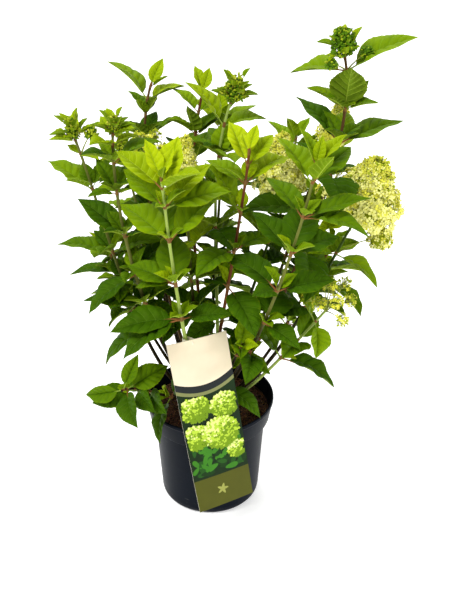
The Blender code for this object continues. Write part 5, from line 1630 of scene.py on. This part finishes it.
def strap_piece(stem):
    """The strap as a smooth band: the solid's path, passed through by a smooth curve in 60 steps."""
    path = strap_path(stem)
    at = np.linspace(0, len(path) - 1, 60)
    i = np.clip(at.astype(int), 0, len(path) - 2)
    f = (at - i)[:, None]
    p0, p1, p2, p3 = (path[np.clip(i + k, 0, len(path) - 1)] for k in (-1, 0, 1, 2))
    line = (2 * p0 - 5 * p1 + 4 * p2 - p3) * f ** 2 + (3 * p1 - p0 - 3 * p2 + p3) * f ** 3
    line = 0.5 * (2 * p1 + (p2 - p0) * f + line)
    first, last = (np.repeat(end[:, None], 4, axis=1) for end in (line[:1], line[-1:]))
    rings = np.concatenate([first, strap_corners(line), last])
    part = (rings.reshape(-1, 3), grid_faces(len(rings), 4, True), 0)
    band = finish("strap_plastic", "e6dcc4", "f3ead6", 0.4, grain=500.0, strength=0.05)
    return trimmed(mesh_piece("label_strap", [part], [band]), 50)


# The plant, grown by the rule of the solids
def grown():
    """The stems, the room they share and the leaves, in the order in which the solids were made."""
    rng = random.Random(SEED + 1)
    for _ in range(POT_SEGMENTS):
        rng.uniform(-1, 0.6)
    room = Room()
    for profile, segments, owner in ((pot_profile, POT_SEGMENTS, "pot"), (soil_profile, POT_SEGMENTS, "soil"),
                                     (stump_profile, STUMP_SEGMENTS, "stump")):
        points, body, caps = revolve(profile(), segments)
        room.add((points, body.tolist() + caps.tolist()), owner)
    wanted = [np.array(row[1]) - np.array([0, 0, STUMP_CENTRE]) for row in STEMS]
    stems = [Stem(row, foot) for row, foot in zip(STEMS, spread_feet(wanted))]
    for stem in stems:
        room.add(tube(stem, np.linspace(0.0, stem.mass_from - CLEARANCE / 2, 5), 5), stem.name)
        room.add(tube(stem, stem.rings, 5, True), stem.name)
    points, faces = label_grid(5, 4)
    strap = skin(list(strap_corners(strap_path(strap_stem(stems)))))
    for solid in ((points, faces.tolist()), strap, space_before_label()):
        room.add(solid, "label")
    for stem in stems:
        for shape in make_head(stem, rng):
            room.add(shape, stem.name)
    return stems, room, grow(stems, room)


def strap_stem(stems):
    """The stem that the label's strap goes round."""
    return next(stem for stem in stems if stem.name == STRAP_STEM)


def small_leaves(stems, room):
    """What the solids leave out: short pairs in the axils of grown leaves, larger leaves across from them on
    the stems behind, and the narrow leaves round a bud."""
    rng = random.Random(SEED + 2)
    found = []
    for stem in stems:
        apart = 360.0 / stem.whorl
        for step in range(2, len(stem.joints)):
            centre, along = stem.at(stem.joints[step] + 0.003)
            for member in range(stem.whorl):
                base = stem.turn + step * apart / 2 + member * apart
                behind = stem.line[-1][1] > -0.05
                for swing, rise, size in FAR_SHOOTS if behind else NEAR_SHOOTS:
                    length = size * rng.uniform(0.75, 1.25)
                    jitter = [rng.uniform(-1, 1) for _ in range(3)]
                    if not behind and rng.random() < 0.45:
                        continue
                    leaf = Leaf(stem, step, centre, along, base + swing + 9 * jitter[0], rise + 8 * jitter[1],
                                26 + 10 * jitter[2], 0, 26, length, length * LEAF_WIDTH)
                    if room.take(leaf):
                        found.append((leaf, "far" if behind else "near"))
        if stem.head == "bud":
            tip, along = head_frame(stem)[:2]
            start = tip + along * 0.002
            rows = TOP_BRACTS if stem.name == "right_tall" else BRACTS
            for share, turn, rise, size in rows:
                centre = start + along * stem.head_length * share
                centre = centre + flat_direction(turn) * stem.head_radius * 0.6
                length = size * rng.uniform(0.9, 1.1)
                leaf = Leaf(stem, 0, centre, along, turn, rise, 14, 0, 34, length, length * LEAF_WIDTH)
                found.append((leaf, "bract"))
    return found


def leaf_kind(leaf, rng):
    """How dark a leaf looks: bright at the top of a stem and darker down it with age, darker again low in the
    plant, at the right and at the back, which is painted shade.
    """
    age_and_shade = leaf.step + rng.uniform(-0.7, 0.7) + OLDER.get(leaf.stem.name, 0.0)
    # Painted shade: leaves low in the plant, at the right and at the back get a darker finish.
    age_and_shade += 1.9 * (leaf.root[2] < 0.36) + 0.7 * (leaf.root[0] > 0.06) + 0.8 * (leaf.root[1] > 0.03)
    return next((kind for limit, kind in LEAF_AGE_AND_SHADE_STEPS if age_and_shade < limit), "dark")


def leaf_pieces(leaves, kinds):
    """The leaves in four pieces, with their stalks, each leaf in the finishes of its age."""
    finishes = [finish(name, dark, light, rough, 45, 1.5, 1300, 0.18, through=through)
                for name, dark, light, rough, through in BLADE_TONES]
    finishes += [finish(name, dark, light, 0.5, 120, 1.5, 1200, 0.2) for name, dark, light in STALK_TONES]
    for made in finishes:
        waxy(made, VEIN_SHINE if "vein" in made.name else LEAF_SHINE)
    rng = np.random.default_rng(SEED)
    pieces = []
    names = sorted({leaf.stem.name for leaf in leaves})
    for place, title in enumerate(LEAF_PIECES):
        mine = names[place::len(LEAF_PIECES)]
        some, ages = zip(*[(leaf, kind) for leaf, kind in zip(leaves, kinds) if leaf.stem.name in mine])
        blades = leaf_meshes(some, ages, rng)
        points, faces = stalks(some)
        red = np.array([RED_STALKS.get(leaf.stem.name, 0.25) for leaf in some]) > rng.uniform(0, 1, len(some))
        stalk = np.repeat(len(BLADE_TONES) + np.where(red, 0, 1), len(faces) // len(some))
        piece = mesh_piece(title, [blades, (points, faces, stalk)], finishes)
        piece.data.set_sharp_from_angle(angle=math.radians(70))
        pieces.append(piece)
    return pieces


def stem_piece(stems):
    """All the stems and the stump in one piece, each in its own bark."""
    parts = []
    for stem in stems:
        points, faces, knot = bark_tube(stem)
        slot = [name for name, *_ in BARK_TONES].index(BARKS.get(stem.name, "olive"))
        parts.append((points, faces, np.where(knot, len(BARK_TONES), slot)))
    finishes = [bark_finish(f"bark_{name}", old, young, knee) for name, old, young, knee in BARK_TONES]
    finishes.append(finish("bark_joint", "6a4626", "84643a", 0.55, 200.0, 1.6, 1300.0, 0.4))
    for made in finishes:
        waxy(made, LEAF_SHINE)
    return mesh_piece("stems", parts + stump_shape(), finishes)


def blossom_pieces(stems):
    """The heads: the florets, the buds, and their fine twigs with the inner bodies, a piece each."""
    rng = np.random.default_rng(SEED + 3)
    heads = Blossom(rng)
    for stem in stems:
        tip, along = head_frame(stem)[:2]
        tone = HEAD_TONES.get(stem.name, 0.5)
        if stem.head == "panicle":
            heads.head(tip - along * 0.004, along, stem.head_length, stem.head_radius, tone, head_outline,
                       PANICLE_FILL, PANICLE_BANDS)
        elif stem.head == "bud":
            heads.head(tip + along * 0.002, along, stem.head_length, stem.head_radius * 0.92, tone,
                       bud_outline, BUD_FILL, BUD_BANDS, 0.0015, 0.34)
        elif stem.head == "spray":
            for end in spray_ends(stem):
                heads.spray(tip - along * 0.002, end, SPRAY_REACH, tone)
        root = stem.at(stem.joints[1])[0]
        for *centre, reach in SIDE_HEADS.get(stem.name, ()):
            large = reach > SMALL_HEAD
            heads.ball(root, np.array(centre), reach * 1.2, 3 * large, 2 if large else 8, 0.0042, tone)
    petals = [finish(*tones, *surface) for surface, rows in PETAL_TONES for tones in rows]
    for made in petals:
        waxy(made, LEAF_SHINE)
    pieces = []
    for name, kind, shape, squeeze, slots in (("blossom", "floret", floret_shape(), 1.0, (0, 1, 2, 3)),
                                              ("buds", "bead", bead_shape(), 1.6, (6, 4, 4, 5))):
        places, facing, sizes, tones = (np.concatenate(v) for v in zip(*heads.kept[kind]))
        points, faces = dealt(shape, places, facing, sizes, rng.uniform(0, 6.28, len(places)), squeeze)
        slots = np.array(slots)[np.clip((tones * 4).astype(int), 0, 3)]
        part = (points, faces, np.repeat(slots, len(faces) // len(places)))
        pieces.append(mesh_piece(name, [part], petals, smooth=kind == "bead"))
        if kind == "floret":
            centres = dealt(bead_shape(), places + facing * 0.0002, facing, sizes * 0.15, 0 * sizes)
    parts = [(*twig, FINE_TWIG) for twig in heads.twigs] + [(*centres, BEAD_LIME)] + heads.cores
    return pieces + [mesh_piece("head_twigs", parts, petals)]


def dress():
    """Makes every piece, hides the solids it replaces and hangs every piece on the root body."""
    stems, room, leaves = grown()
    for leaf in leaves:
        run = leaf.stem.joints[leaf.step]
        leaf.root = leaf.root + leaf.stem.at(run)[0] - leaf.stem.middle(run)
    extra = small_leaves(stems, room)
    rng = random.Random(SEED + 4)
    kinds = [leaf_kind(leaf, rng) for leaf in leaves]
    kinds += [rng.choice(SHOOT_KINDS[kind]) for _, kind in extra]
    print(len(leaves), "leaves and", len(extra), "small ones")
    maker = np.random.default_rng(SEED + 5)
    names = [stem.name for stem in stems]
    masses = [f"mass_{name}" for name in names]
    headed = [f"mass_{stem.name}" for stem in stems if stem.head != "tuft"]
    limbs = [f"limb_{name}" for name in names]
    pieces = [(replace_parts(piece, *masses), "mass_front_left")
              for piece in leaf_pieces(leaves + [leaf for leaf, _ in extra], kinds)]
    pieces += [(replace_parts(piece, *headed), "mass_right_head") for piece in blossom_pieces(stems)]
    pieces += [(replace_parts(stem_piece(stems), *limbs, "stump"), "stump"),
               (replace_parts(pot_piece(), "pot"), "pot"),
               (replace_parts(soil_piece(maker), "soil"), "soil"), (fibres(maker), "soil"),
               (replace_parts(label_card(), "label"), "label"), (label_print(maker), "label"),
               (strap_piece(strap_stem(stems)), "label")]
    for piece, slot in pieces:
        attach(piece, "root")


# The studio
def studio():
    """A pale floor, an even white surround, a large soft light at the upper left, a weaker one at the right,
    one over the floor behind, and the camera at the photograph's height and distance."""
    corners = np.array([(-9, -6, 0), (9, -6, 0), (9, 14, 0), (-9, 14, 0)], float)
    paper = finish("floor_paper", "fbfbfb", "ffffff", 0.9, 3.0, 0.5)
    floor = mesh_piece("floor", [(corners, np.array([(0, 1, 2, 3)]), 0)], [paper])
    set_inputs(shader_of(paper), {"Emission Color": WHITE, "Emission Strength": FLOOR_GLOW})
    world = bpy.data.worlds.new("surround")
    world.use_nodes = True
    set_inputs(world.node_tree.nodes["Background"], {"Color": WHITE, "Strength": SURROUND_LIGHT})
    scene = bpy.context.scene
    scene.world = world
    for name, place, size, power, target in LIGHTS:
        lamp = bpy.data.lights.new(name, "AREA")
        lamp.energy = power
        lamp.size = size
        made = placed(bpy.data.objects.new(name, lamp))
        made.location = place
        aim = mathutils.Vector(target) - made.location
        made.rotation_euler = aim.to_track_quat("-Z", "Y").to_euler()
    lens = bpy.data.cameras.new("camera")
    lens.sensor_fit = "VERTICAL"
    lens.sensor_height = SENSOR_HEIGHT
    lens.lens = FOCAL_LENGTH
    camera = placed(bpy.data.objects.new("camera", lens))
    camera.location = CAMERA_PLACE
    camera.rotation_euler = (math.pi / 2 - math.radians(CAMERA_DOWN), 0.0, 0.0)
    scene.camera = camera
    scene.view_settings.view_transform = "Standard"


dress()
studio()
